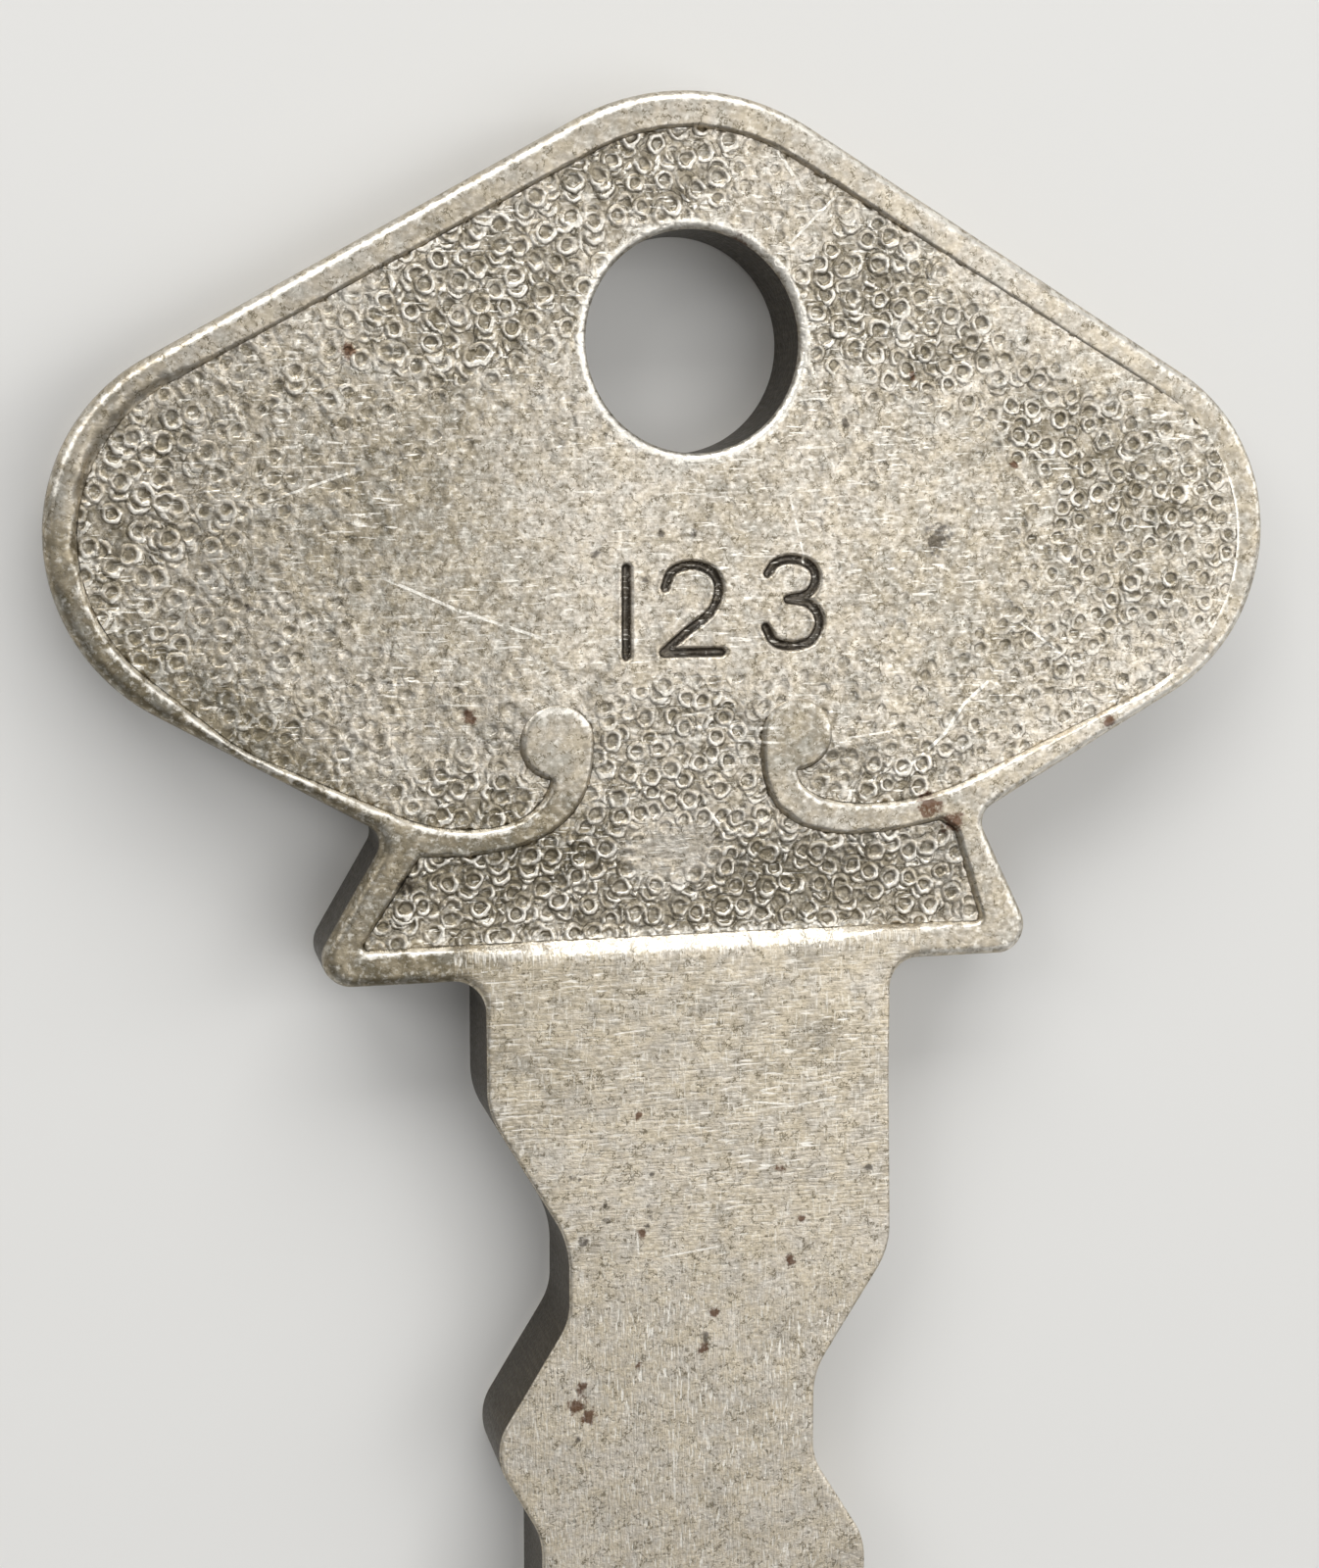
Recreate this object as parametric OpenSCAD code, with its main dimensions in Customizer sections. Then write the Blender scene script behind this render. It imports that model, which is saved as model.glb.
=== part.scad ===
// Flat ignition key with a rounded diamond bow, a raised rim that ends in two
// curled scrolls, a flared shoulder and a blade that is cut on both edges.
// The origin is the centre of the ring hole at half the thickness, +Z comes out
// of the numbered face and the blade runs along -Y. Sizes are in millimetres.

/* [Blank] */
// Thickness of the rim and the blade
blank_t = 2.2; // [1.8:0.05:2.6]
// Thickness of the sunk floor inside the rim
web_t = 1.6; // [1.2:0.05:1.8]
// Width of the bow
bow_w = 25.4; // [24.6:0.1:26.4]
// Length from the ring hole to the end of the blade
tip_y = 36.4; // [35.6:0.1:40]

/* [Bow] */
// Radius of the bow's top, about the ring hole
top_r = 4.87; // [4.6:0.01:5.1]
// Radius of the bow's left and right ends
end_r = 3.9; // [3.6:0.05:4.1]
// Distance of those ends below the ring hole
end_y = 3.87; // [3.7:0.01:4.1]
// Width of the rim at the top
rim_top_w = 0.73; // [0.5:0.01:0.9]
// Width of the rim at the bow's left and right ends
rim_end_w = 0.65; // [0.5:0.01:0.9]
// Radius of the ring hole
hole_r = 2.2; // [1.8:0.05:2.4]
// Width of the soft lip round the ring hole
lip_w = 0.2; // [0.1:0.05:0.3]

/* [Scrolls] */
// Radius of the left scroll's boss
left_boss_r = 0.765; // [0.6:0.005:0.8]
// Radius of the right scroll's boss
right_boss_r = 0.75; // [0.6:0.005:0.8]

/* [Shoulder] */
// Half of the width at the corner of the notch between bow and shoulder
notch_x = 6.28; // [6.1:0.01:6.5]
// Distance of that corner below the ring hole
notch_y = 9.77; // [9.6:0.01:9.9]
// Flare of the shoulder's left side, in degrees from the blade's direction
left_flare = 30.4; // [24:0.2:32]
// Flare of its right side, in degrees from the blade's direction
right_flare = 26.5; // [24:0.5:32]
// Distance of the stop face below the ring hole
stop_y = 12.8; // [12.6:0.05:13]
// Height of the border between the panel and the stop face
stop_h = 0.75; // [0.5:0.05:0.9]

/* [Blade] */
// Half of the width at the root
root_x = 4.33; // [4.1:0.01:4.5]
// Radius of the fillets at the root
root_fillet = 0.65; // [0.4:0.05:1]
// Distance of the first cut below the ring hole
cuts_y = 15; // [14.5:0.1:15.3]
// Distance of the last cut's end below the ring hole
cuts_end_y = 34; // [33.5:0.1:34.2]

/* [Quality] */
// Points on a quarter turn of an outline
quarter_points = 16; // [6:1:32]

/* [Hidden] */

// Reach of the cutting shapes past the key
far = 40;
// Overshoot that makes a cut go right through a face
over = 1;
// Segments on the ring hole and its lip
hole_segments = 96;
// Points on each free curve of a scroll
curve_points = 14;

// Radii of the notch, the shoulder's corners and the first bend of the blade
notch_fillet = 0.4;
shoulder_r = 0.6;
first_bend_r = 1.8;

// Slopes of the bow's upper and lower sides, which are tangent to its ends
end_x = bow_w / 2 - end_r;
side_slope = atan2(end_y, end_x) + asin((top_r - end_r) / norm([end_x, end_y]));
lower_run = [end_x - notch_x, notch_y - end_y];
lower_slope = atan2(lower_run.y, lower_run.x) - asin(end_r / norm(lower_run));

// Slopes of the rim's inner edge
inner_slope = 28.9;
left_lower_slope = 39.6;
right_lower_slope = 24.2;
inner_top_r = top_r - rim_top_w;
inner_top_y = inner_top_r / cos(inner_slope);

// Centres of the bosses and the free curves of the scrolls
left_boss = [-2.84, -7.99];
right_boss = [2.2, -7.95];
left_inner = [[-6.1, -9.33], [-4.85, -9.92], [-3.15, -9.8], [-2.98, -8.72]];
left_outer = [[-2.075, -7.99], [-2, -9.75], [-3.4, -10.4], [-5.63, -10.22]];
right_inner = [[6.2, -8.92], [4.74, -9.65], [2.3, -9.6], [2.25, -8.7]];
right_outer = [[1.45, -7.95], [1.35, -9.55], [2.15, -10.55], [5.4, -9.86]];

// Easy bend of the rim's inner edge, between the left end and the left scroll
left_bend = [-9.08, -7.97];
left_bend_r = 4;

// Corners of the bow, where its sides would meet without the round ends
bow_top_y = top_r / cos(side_slope);
bow_corner = meet(bow_top_y, side_slope, [notch_x, -notch_y], lower_slope);
inner_right = meet(inner_top_y, inner_slope, right_inner[0], right_lower_slope);
inner_left = meet(inner_top_y, inner_slope, across(left_bend), left_lower_slope);
left_shoulder_x = notch_x + (stop_y - notch_y) * tan(left_flare);
right_shoulder_x = notch_x + (stop_y - notch_y) * tan(right_flare);

// Half of the width at the foot of the blade, where its fillets run out
foot_x = root_x + root_fillet;

// Corners of the shoulder's panel below the scrolls
panel_bottom = -stop_y + stop_h;
panel_right = [[5.72, -10.02, 0.2], [6.38, panel_bottom, 0.08]];
panel_left = [[-6.85, panel_bottom, 0.08]];

// Area of the shoulder's floor: across the throat between the scrolls at its
// top, and anywhere inside the raised metal from there on
throat_y = -9;
shoulder_floor = [
    [-2.6, throat_y], [-2.95, -9.45], [-3.6, -9.8], [-4.8, -9.95], [-6, -9.7],
    [-8, -9.6], [-8, -stop_y], [8, -stop_y], [8, -9.2], [6.2, -9.4],
    [4.5, -9.65], [3.2, -9.7], [2.3, -9.4], [1.95, throat_y]
];

// Cut corners of the blade from the root down, each as [half width, y, radius]
left_cuts = [
    [root_x, -15.53, first_bend_r], [2.63, -18.45, 2.1], [2.63, -20.12, 1.3],
    [4.13, -22.55, 1.1], [4.13, -23.2, 1.2], [3.23, -24.85, 1.6],
    [3.23, -27.3, 1.6], [4.1, -28.85, 1.3], [4.1, -30.3, 1.3],
    [3.3, -31.7, 1.5]
];
right_cuts = [
    [root_x, -cuts_y, 4], [4.43, -19.12, 1.7], [2.74, -21.77, 1.7],
    [2.75, -23.71, 1.4], [3.96, -25.7, 1.6], [3.96, -26.8, 1.6],
    [2.95, -28.5, 1.6], [2.95, -30.4, 1.6], [3.7, -31.7, 1.4]
];
left_tip = [[3.3, -tip_y + 1.9, 0.6], [1.6, -tip_y, 0.6]];
right_tip = [[3.7, -tip_y + 2, 0.6], [1.9, -tip_y, 0.6]];

// Point right of the middle where a side that falls from the top meets a side
// that rises outwards through p
function meet(top_y, fall, p, rise) =
    let(x = (top_y - p.y + tan(rise) * p.x) / (tan(fall) + tan(rise)))
    [x, top_y - tan(fall) * x];

// Radius that rounds the corner between two such sides so that it reaches to x
function end_radius(corner, fall, rise, x) =
    (corner.x - x) / (cos((fall - rise) / 2) / sin((fall + rise) / 2) - 1);

// Points of the arc that rounds corner b between its neighbours a and c
function fillet(a, b, c, r) =
    let(
        u = (a - b) / norm(a - b),
        v = (c - b) / norm(c - b),
        half = acos(max(-1, min(1, u * v))) / 2,
        w = (u + v) / norm(u + v),
        o = b + w * r / sin(half),
        s = b + u * r / tan(half) - o,
        e = b + v * r / tan(half) - o,
        from = atan2(s.y, s.x),
        turn = atan2(s.x * e.y - s.y * e.x, s * e),
        n = max(1, ceil(abs(turn) / 90 * quarter_points))
    )
    [for (i = [0:n]) o + r * [cos(from + turn * i / n), sin(from + turn * i / n)]];

// Closed outline through corners of the form [x, y, radius]
function rounded(corners) =
    let(n = len(corners))
    [
        for (i = [0:n - 1])
            let(
                a = corners[(i + n - 1) % n],
                b = corners[i],
                c = corners[(i + 1) % n]
            )
            each b.z == 0
                ? [[b.x, b.y]]
                : fillet([a.x, a.y], [b.x, b.y], [c.x, c.y], b.z)
    ];

// Points on a cubic curve, leaving out its two ends
function curve(p) =
    [
        for (i = [1:curve_points - 1])
            let(t = i / curve_points, k = 1 - t)
            k * k * k * p[0] + 3 * k * k * t * p[1] + 3 * k * t * t * p[2]
                + t * t * t * p[3]
    ];

// Points round a boss, anticlockwise from one angle to the other
function round_boss(centre, r, from, to) =
    let(n = ceil((to - from) / 90 * quarter_points))
    [
        for (i = [0:n])
            let(a = from + (to - from) * i / n)
            centre + r * [cos(a), sin(a)]
    ];

function sharp(points) = [for (p = points) [p.x, p.y, 0]];
function backwards(points) = [for (i = [len(points) - 1:-1:0]) points[i]];
function across(p) = [-p.x, p.y];
function mirrored(points) = [for (p = points) [-p.x, p.y, p.z]];
function angle_of(p) = atan2(p.y, p.x);

// Silhouette of the whole key
key_corners = concat(
    [
        [0, bow_top_y, top_r],
        [bow_corner.x, bow_corner.y, end_r],
        [notch_x, -notch_y, notch_fillet],
        [right_shoulder_x, -stop_y, shoulder_r],
        [root_x, -stop_y, root_fillet]
    ],
    right_cuts,
    right_tip,
    mirrored(backwards(left_tip)),
    mirrored(backwards(left_cuts)),
    [
        [-root_x, -stop_y, root_fillet],
        [-left_shoulder_x, -stop_y, shoulder_r],
        [-notch_x, -notch_y, notch_fillet],
        [-bow_corner.x, bow_corner.y, end_r]
    ]
);

// Where the rim's inner edge reaches to, left and right
inner_end_x = bow_w / 2 - rim_end_w;
right_end_r = end_radius(inner_right, inner_slope, right_lower_slope, inner_end_x);
left_end_r = end_radius(inner_left, inner_slope, left_lower_slope, inner_end_x);

// Outline of the sunk floor: inside the rim, round both scrolls and down
// through the throat between them into the shoulder's panel
floor_corners = concat(
    [
        [0, inner_top_y, inner_top_r],
        [inner_right.x, inner_right.y, right_end_r]
    ],
    sharp([right_inner[0]]),
    sharp(curve(right_inner)),
    sharp(round_boss(right_boss, right_boss_r, angle_of(right_inner[3] - right_boss), 180)),
    sharp(curve(right_outer)),
    sharp([right_outer[3]]),
    panel_right,
    panel_left,
    sharp([left_outer[3]]),
    sharp(backwards(curve(left_outer))),
    sharp(round_boss(left_boss, left_boss_r, 0, 360 + angle_of(left_inner[3] - left_boss))),
    sharp(backwards(curve(left_inner))),
    sharp([left_inner[0]]),
    [
        [left_bend.x, left_bend.y, left_bend_r],
        [-inner_left.x, inner_left.y, left_end_r]
    ]
);

module silhouette() {
    polygon(rounded(key_corners));
}

module sunk_floor() {
    polygon(rounded(floor_corners));
}

module raised_part() {
    difference() {
        silhouette();
        sunk_floor();
    }
}

// Half plane between two heights
module band(low, high) {
    translate([-far, low]) square([2 * far, high - low]);
}

// Area of one scroll, from the notch to the middle of the throat
module scroll_area(side, rail_top) {
    polygon([
        [side * notch_x, throat_y / 2],
        [side * notch_x, -notch_y],
        rail_top,
        [rail_top.x * 0.9, -notch_y - over],
        [0, -notch_y - over],
        [0, throat_y / 2]
    ]);
}

// Flat solid of a given thickness, centred on the middle plane
module plate(t) {
    linear_extrude(height = t, center = true) children();
}

// Straight bore with a conical lip at each face
module ring_hole() {
    cylinder(r = hole_r, h = blank_t + over, center = true, $fn = hole_segments);
    for (side = [0, 1]) {
        mirror([0, 0, side]) translate([0, 0, web_t / 2 - lip_w]) {
            cylinder(r1 = hole_r, r2 = hole_r + 2 * lip_w, h = 2 * lip_w, $fn = hole_segments);
        }
    }
}

module bow_web() {
    color("#b3aa9a") difference() {
        plate(web_t) difference() {
            sunk_floor();
            polygon(shoulder_floor);
        }
        ring_hole();
    }
}

module bow_rim() {
    color("#c9c0af") plate(blank_t) difference() {
        intersection() {
            raised_part();
            band(-notch_y, far);
        }
        scroll_area(-1, left_outer[3]);
        scroll_area(1, right_outer[3]);
    }
}

module left_scroll() {
    color("#c4bba9") plate(blank_t) intersection() {
        raised_part();
        scroll_area(-1, left_outer[3]);
    }
}

module right_scroll() {
    color("#c4bba9") plate(blank_t) intersection() {
        raised_part();
        scroll_area(1, right_outer[3]);
    }
}

module shoulder_web() {
    color("#a89f8e") plate(web_t) intersection() {
        sunk_floor();
        polygon(shoulder_floor);
    }
}

// Raised border on one side of the shoulder, whose lower face is the stop
module stop_side(side, rail_top) {
    plate(blank_t) difference() {
        intersection() {
            raised_part();
            band(-stop_y, -notch_y);
            mirror([side < 0 ? 1 : 0, 0]) translate([foot_x, -far]) square([far, 2 * far]);
        }
        scroll_area(side, rail_top);
    }
}

module left_stop() {
    color("#c6bdac") stop_side(-1, left_outer[3]);
}

module right_stop() {
    color("#c6bdac") stop_side(1, right_outer[3]);
}

module blade_between(top, bottom) {
    plate(blank_t) intersection() {
        silhouette();
        translate([-foot_x, -bottom]) square([2 * foot_x, bottom - top]);
    }
}

module blade_root() {
    color("#c7bdaa") blade_between(-panel_bottom, cuts_y);
}

module blade_cuts() {
    color("#c3b9a6") blade_between(cuts_y, cuts_end_y);
}

module blade_tip() {
    color("#c7bdaa") blade_between(cuts_end_y, tip_y + over);
}

bow_web();
bow_rim();
left_scroll();
right_scroll();
shoulder_web();
left_stop();
right_stop();
blade_root();
blade_cuts();
blade_tip();
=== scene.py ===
# Dressed model of a flat ignition key struck from nickel silver, built over its CAD solids.
# Every piece stands in the CAD frame: the origin is the centre of the ring hole at half
# the thickness, +Z comes out of the numbered face and the blade runs along -Y.
# Shapes are worked out in millimetres and written to the meshes in metres.
import math

import bpy
import numpy as np
from mathutils import Matrix, Vector
from mathutils.geometry import delaunay_2d_cdt
from mathutils.kdtree import KDTree


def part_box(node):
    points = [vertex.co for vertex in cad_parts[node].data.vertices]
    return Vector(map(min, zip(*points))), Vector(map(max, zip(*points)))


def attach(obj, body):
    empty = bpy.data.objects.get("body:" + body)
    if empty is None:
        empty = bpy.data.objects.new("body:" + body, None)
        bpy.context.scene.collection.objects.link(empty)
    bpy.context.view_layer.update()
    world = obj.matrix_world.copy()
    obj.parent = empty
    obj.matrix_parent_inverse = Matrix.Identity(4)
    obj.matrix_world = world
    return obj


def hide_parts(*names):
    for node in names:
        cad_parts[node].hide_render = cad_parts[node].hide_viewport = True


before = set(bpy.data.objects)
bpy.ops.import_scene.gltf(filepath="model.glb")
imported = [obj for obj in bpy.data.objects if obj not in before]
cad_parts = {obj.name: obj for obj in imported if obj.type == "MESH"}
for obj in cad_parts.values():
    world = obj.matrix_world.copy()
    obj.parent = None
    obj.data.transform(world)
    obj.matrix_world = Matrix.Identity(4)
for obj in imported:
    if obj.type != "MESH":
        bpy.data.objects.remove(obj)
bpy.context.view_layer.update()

bl_info = {
    "name": "Flat ignition key",
    "version": (1, 0, 0),
    "blender": (4, 5, 0),
    "location": "View3D > Sidebar > Key",
    "description": "Builds the struck, ring-punched and cut metal of a flat ignition key",
    "category": "Object",
}

MM = 0.001
RIM_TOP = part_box("bow_rim")[1][2] / MM
WEB_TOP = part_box("bow_web")[1][2] / MM
KEY_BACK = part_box("blade_root")[0][2]

# Outline of the key, repeated from its CAD source: corners as x, y and radius
BOW_WIDTH = 25.4
TOP_R = 4.87
END_R = 3.9
END_Y = 3.87
RIM_TOP_W = 0.73
RIM_END_W = 0.65
NOTCH = (6.28, -9.77, 0.4)
LEFT_FLARE = math.radians(30.4)
RIGHT_FLARE = math.radians(26.5)
STOP_Y = -12.8
SHOULDER_R = 0.6
PANEL_BOTTOM = -12.05
ROOT_X = 4.33
ROOT_R = 0.65
FOOT_X = ROOT_X + ROOT_R
INNER_SLOPE = math.radians(28.9)
LEFT_LOWER_SLOPE = math.radians(39.6)
RIGHT_LOWER_SLOPE = math.radians(24.2)
LEFT_BOSS = (-2.84, -7.99, 0.765)
RIGHT_BOSS = (2.2, -7.95, 0.75)
LEFT_BEND = (-9.08, -7.97, 4.0)
LEFT_INNER = [(-6.1, -9.33), (-4.85, -9.92), (-3.15, -9.8), (-2.98, -8.72)]
LEFT_OUTER = [(-2.075, -7.99), (-2, -9.75), (-3.4, -10.4), (-5.63, -10.22)]
RIGHT_INNER = [(6.2, -8.92), (4.74, -9.65), (2.3, -9.6), (2.25, -8.7)]
RIGHT_OUTER = [(1.45, -7.95), (1.35, -9.55), (2.15, -10.55), (5.4, -9.86)]
PANEL_RIGHT = [(5.72, -10.02, 0.2), (6.38, PANEL_BOTTOM, 0.08)]
PANEL_LEFT = [(-6.85, PANEL_BOTTOM, 0.08)]
RIGHT_CUTS = [
    (4.33, -15, 4), (4.43, -19.12, 1.7), (2.74, -21.77, 1.7), (2.75, -23.71, 1.4),
    (3.96, -25.7, 1.6), (3.96, -26.8, 1.6), (2.95, -28.5, 1.6), (2.95, -30.4, 1.6),
    (3.7, -31.7, 1.4), (3.7, -34.4, 0.6), (1.9, -36.4, 0.6),
]
LEFT_CUTS = [
    (-1.6, -36.4, 0.6), (-3.3, -34.5, 0.6), (-3.3, -31.7, 1.5), (-4.1, -30.3, 1.3),
    (-4.1, -28.85, 1.3), (-3.23, -27.3, 1.6), (-3.23, -24.85, 1.6), (-4.13, -23.2, 1.2),
    (-4.13, -22.55, 1.1), (-2.63, -20.12, 1.3), (-2.63, -18.45, 2.1), (-4.33, -15.53, 1.8),
]

# Profile of a ring mark: distance from its middle over its radius, and height from 0 at its
# lowest to 1 on the ring. It ends where the metal is no longer changed by the blow
RING_PROFILE = (
    (0.0, 0.1), (0.34, 0.0), (0.47, 0.2), (0.6, 0.82), (0.74, 1.0), (0.87, 0.84), (0.98, 0.42),
    (1.06, 0.34), (1.16, 0.43),
)
RING_REACH = RING_PROFILE[-1][0]
# Each next blow of a chain falls further up the key and a little to one side. Over the
# climb: the range that chance covers, and where it starts
CHAIN_RANGE = (1.5, 1.1, 0)
CHAIN_START = (-0.75, 0.45, 0)
# Share of the first, second and third blows of a chain that don't fall. On the right of the
# key, between two places along X, and in the throat, between two distances from its middle,
# that of the later blows grows until the marks stand side by side
SKIPPED = (0.0, 0.5, 0.75)
MOST_SKIPPED = 0.94
RIGHT_FIELD = (0.003, 0.0055)
THROAT_MIDDLE = (-0.0003, -0.0078, 0)
THROAT_FIELD = (0.0024, 0.0014)
# Tilt of the punch: the range that chance covers, where it starts, and how much it counts
TILT_RANGE = (0.9, 0.9, 0)
TILT_START = (-0.45, -0.95, 0)
TILT_FORCE = 1.25
# Wear planes the marks down from this many times the height of a ring to this many times
# the depth of a pit, with edges rounded over 0.01 mm
PLANE_START = 1.25
PLANE_END = -1.1
PLANE_ROUND = 1e-5

# Where the bow's ground meets the shoulder's, between the two scrolls
THROAT = [(1.56, -8.98), (-2.26, -9.04)]

# Digits stamped under the ring hole: a plain 1 2 3. Each digit has its left edge, foot and
# width, and its strokes are smooth chains of points in a box 1 wide and 1 high. They all lie
# in a field with this middle and half size. The walls of a stroke start a little outside
# its edge and are soft over a width, and the burr beside it has a height, a distance from
# the edge and a width
DIGIT_HEIGHT = 1.77
DIGIT_FIELD = (0.65, -5.3, 2.8, 1.6)
DIGIT_WALL = (0.015, 0.075)
BURR = (0.012, 0.05, 0.04)
DIGITS = [
    (-1.40, -6.27, 1.0, [[(0, 0), (0, 1)]]),
    (-0.62, -6.21, 1.22, [
        [(0.02, 0.74), (0.14, 0.93), (0.48, 1.0), (0.82, 0.92), (0.94, 0.72), (0.8, 0.46),
         (0.36, 0.22), (0.0, 0.0)],
        [(0.0, 0.0), (1.0, 0.0)],
    ]),
    (1.53, -6.11, 1.18, [
        [(0.03, 0.84), (0.18, 0.96), (0.48, 1.0), (0.8, 0.93), (0.9, 0.77), (0.76, 0.6), (0.4, 0.54)],
        [(0.4, 0.54), (0.8, 0.48), (0.98, 0.28), (0.84, 0.07), (0.5, 0.0), (0.16, 0.05), (0.0, 0.22)],
    ]),
]

# Each list of patches gives places on the metal that differ from the rest: centre x and y,
# half width and half height, turn in degrees, and a value that is reached in the middle

# Wear of the ring marks, from 0, crisp, to 1, rubbed flat
GROUND_WEAR = 0.64
WEAR_PATCHES = [
    (-9.0, -3.4, 3.6, 4.4, 0, 0.54),
    (-1.2, 3.35, 2.3, 0.95, 0, 0.0),
    (-4.1, 1.0, 2.6, 1.5, 25, 0.12),
    (3.4, 1.1, 1.3, 1.5, -20, 0.08),
    (-11.0, -3.7, 1.4, 2.0, 0, 0.24),
    (8.2, -6.0, 3.4, 1.7, 30, 0.54),
    (-8.3, -6.3, 3.2, 1.7, -35, 0.56),
    (9.8, -3.0, 3.2, 2.8, 0, 0.46),
    (7.3, 0.2, 2.3, 1.3, -28, 0.5),
    (5.1, -0.3, 1.3, 1.2, -35, 0.25),
    (7.8, -1.9, 2.3, 0.9, -28, 0.3),
    (1.6, 3.1, 1.0, 0.9, -30, 0.72),
    (8.1, 0.0, 2.7, 0.5, -29, 0.9),
    (-0.4, -9.0, 2.2, 1.3, 0, 0.3),
    (-4.4, -9.2, 1.6, 0.8, 0, 0.3),
    (4.5, -9.0, 1.7, 0.6, 10, 0.3),
    (-1.5, -4.3, 6.2, 2.9, 0, 1.0),
    (5.4, -3.8, 1.8, 2.6, 0, 0.86),
    (-0.3, -7.5, 1.8, 0.9, 0, 0.4),
    (0.0, -11.1, 8.0, 1.2, 0, 0.0),
    (-0.5, -10.3, 1.1, 0.75, 0, 0.9),
    (6.2, -11.0, 0.9, 1.2, 0, 0.5),
]

# Tarnish, from 0, rubbed clean, to 1, dull all over, and what the rim has more of it
TARNISH = 0.32
RIM_FILM = 0.26
TARNISH_PATCHES = [
    (-10.6, -3.6, 3.0, 5.0, 0, 0.5),
    (-9.6, -7.9, 4.0, 1.2, -38, 1.4),
    (-12.6, -4.6, 0.8, 1.7, 0, 0.8),
    (-6.0, -3.2, 3.0, 3.0, 0, 0.78),
    (-8.2, 1.0, 3.2, 1.0, 28, 0.15),
    (-7.2, -1.0, 1.8, 1.3, 25, 0.5),
    (-12.3, -1.2, 0.6, 1.9, 0, 0.15),
    (5.4, -5.6, 2.4, 2.0, 0, 0.58),
    (8.8, -2.8, 3.4, 3.0, 0, 0.6),
    (-0.2, -3.2, 3.4, 2.4, 0, 0.05),
    (0.4, -3.4, 1.7, 1.5, 0, 0.4),
    (0.0, 3.6, 3.5, 1.6, 0, 0.16),
    (5.6, 2.05, 4.2, 0.5, -29.5, 0.08),
    (12.3, -3.5, 0.7, 4.0, 0, 0.38),
    (9.9, 0.3, 2.4, 0.9, -33, 0.15),
    (9.5, -7.6, 3.2, 1.2, 35, 0.0),
    (-6.7, -11.0, 1.6, 2.2, 0, 0.88),
    (-1.0, -11.1, 5.5, 1.0, 0, 0.5),
    (-3.8, -9.9, 2.2, 0.9, 0, 1.0),
    (2.2, -8.0, 0.9, 0.9, 0, 0.5),
    (-1.4, -11.4, 1.9, 0.8, 0, 0.28),
    (-0.1, -10.0, 1.3, 1.1, 0, 0.0),
    (-5.4, -12.6, 1.9, 0.6, 0, 1.1),
    (-3.6, -14.0, 1.8, 1.8, 0, 0.62),
    (1.5, -14.0, 3.2, 2.2, 0, 0.43),
    (0.3, -18.0, 4.0, 2.6, 0, 0.18),
    (0.0, -25.0, 6.0, 5.0, 0, 0.0),
]

# Levels in mm: the ground above the flat floor of the solid, the least depth of the ground
# below the rim, what wear has taken off the rim and the blade, and the part of the rim's
# height, with a limit, that the foot of a slope lies below the ground
GROUND_LEVEL = 0.14
LEAST_DEPTH = 0.035
WORN_OFF = 0.014
FOOT_SINK = 0.2
MOST_SINK = 0.03

# Rises of the ground above that level, in mm
GROUND_RISES = [
    (-0.8, -4.4, 9.0, 3.8, 0, 0.08),
    (7.6, 0.9, 4.6, 1.4, -30, 0.13),
    (-6.8, 1.4, 5.4, 1.0, 29, 0.08),
    (11.6, -4.0, 1.9, 4.2, 0, 0.13),
    (-2.7, -7.1, 1.7, 1.0, 0, 0.08),
    (2.6, -7.1, 1.8, 1.0, 0, 0.1),
    (3.3, -7.7, 1.2, 0.9, 0, 0.1),
    (-10.9, -4.0, 1.5, 2.6, 0, -0.09),
    (0.0, -11.4, 8.0, 1.1, 0, -0.13),
    (6.3, -11.1, 0.8, 1.2, 0, 0.1),
    (-6.2, -11.3, 0.8, 1.2, 0, 0.07),
]

# Extra width of the slope down to the ground, in mm. Below a height along the key it is
# wider all over, and the change takes a distance
SLOPE_PATCHES = [
    (-11.4, -1.6, 1.6, 3.2, 0, 0.2),
    (11.8, -3.0, 1.5, 4.0, 0, 0.3),
    (-6.6, 1.9, 5.2, 1.1, 29, 0.06),
]
LOW_SLOPE = 0.05
LOW_SLOPE_FROM = -4.5
LOW_SLOPE_OVER = 1.5

# Going up the key, the soft outer edge widens from the blade's to the bow's from here on
EDGE_FROM = -13.7
EDGE_OVER = 1.3

# A highlight is painted on the slopes round the ground where they face the light. LIGHT_STEP is 0.02 mm
# towards it. Along the right end it is painted on all of them, in a narrower line, and beside the right
# boss less
LIGHT_STEP = (0.006, 0.019)
LIGHT_LENGTH = 0.02
LIT_WIDTH = 0.16
RIGHT_END_X = 10.5
RIGHT_END_WIDTH = 0.06
RIGHT_END = (12.2, -4.5, 0.9, 4.0, 0)
DIM_SLOPE_HIGHLIGHT = (2.4, -7.2, 1.0, 0.6, 0)
DIM_SLOPE_HIGHLIGHT_SHARE = 0.6

# Where a highlight line is painted along the outer edge of the bow, which is partly rubbed metal, and
# where the edge of the hole is rubbed: distance of the line from the edge, and its half width
RUBBED_EDGE_HIGHLIGHT = (0.15, 0.07)
RUBBED_LIP = (0.11, 0.1)

# Side walls are painted dark with shade over their dull unrubbed metal. The painted shade is darkest at
# the lower left of the key, away from the light, and in the hole, whose wall alone lies within HOLE_REACH
# of its centre. To the right of WALL_X or above WALL_Y the others get lighter by WALL_LIGHTER, over
# WALL_OVER
WALL_LIGHTER = 0.55
WALL_X = 0.5
WALL_Y = -1.5
WALL_OVER = 3
HOLE_REACH = 3

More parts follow.
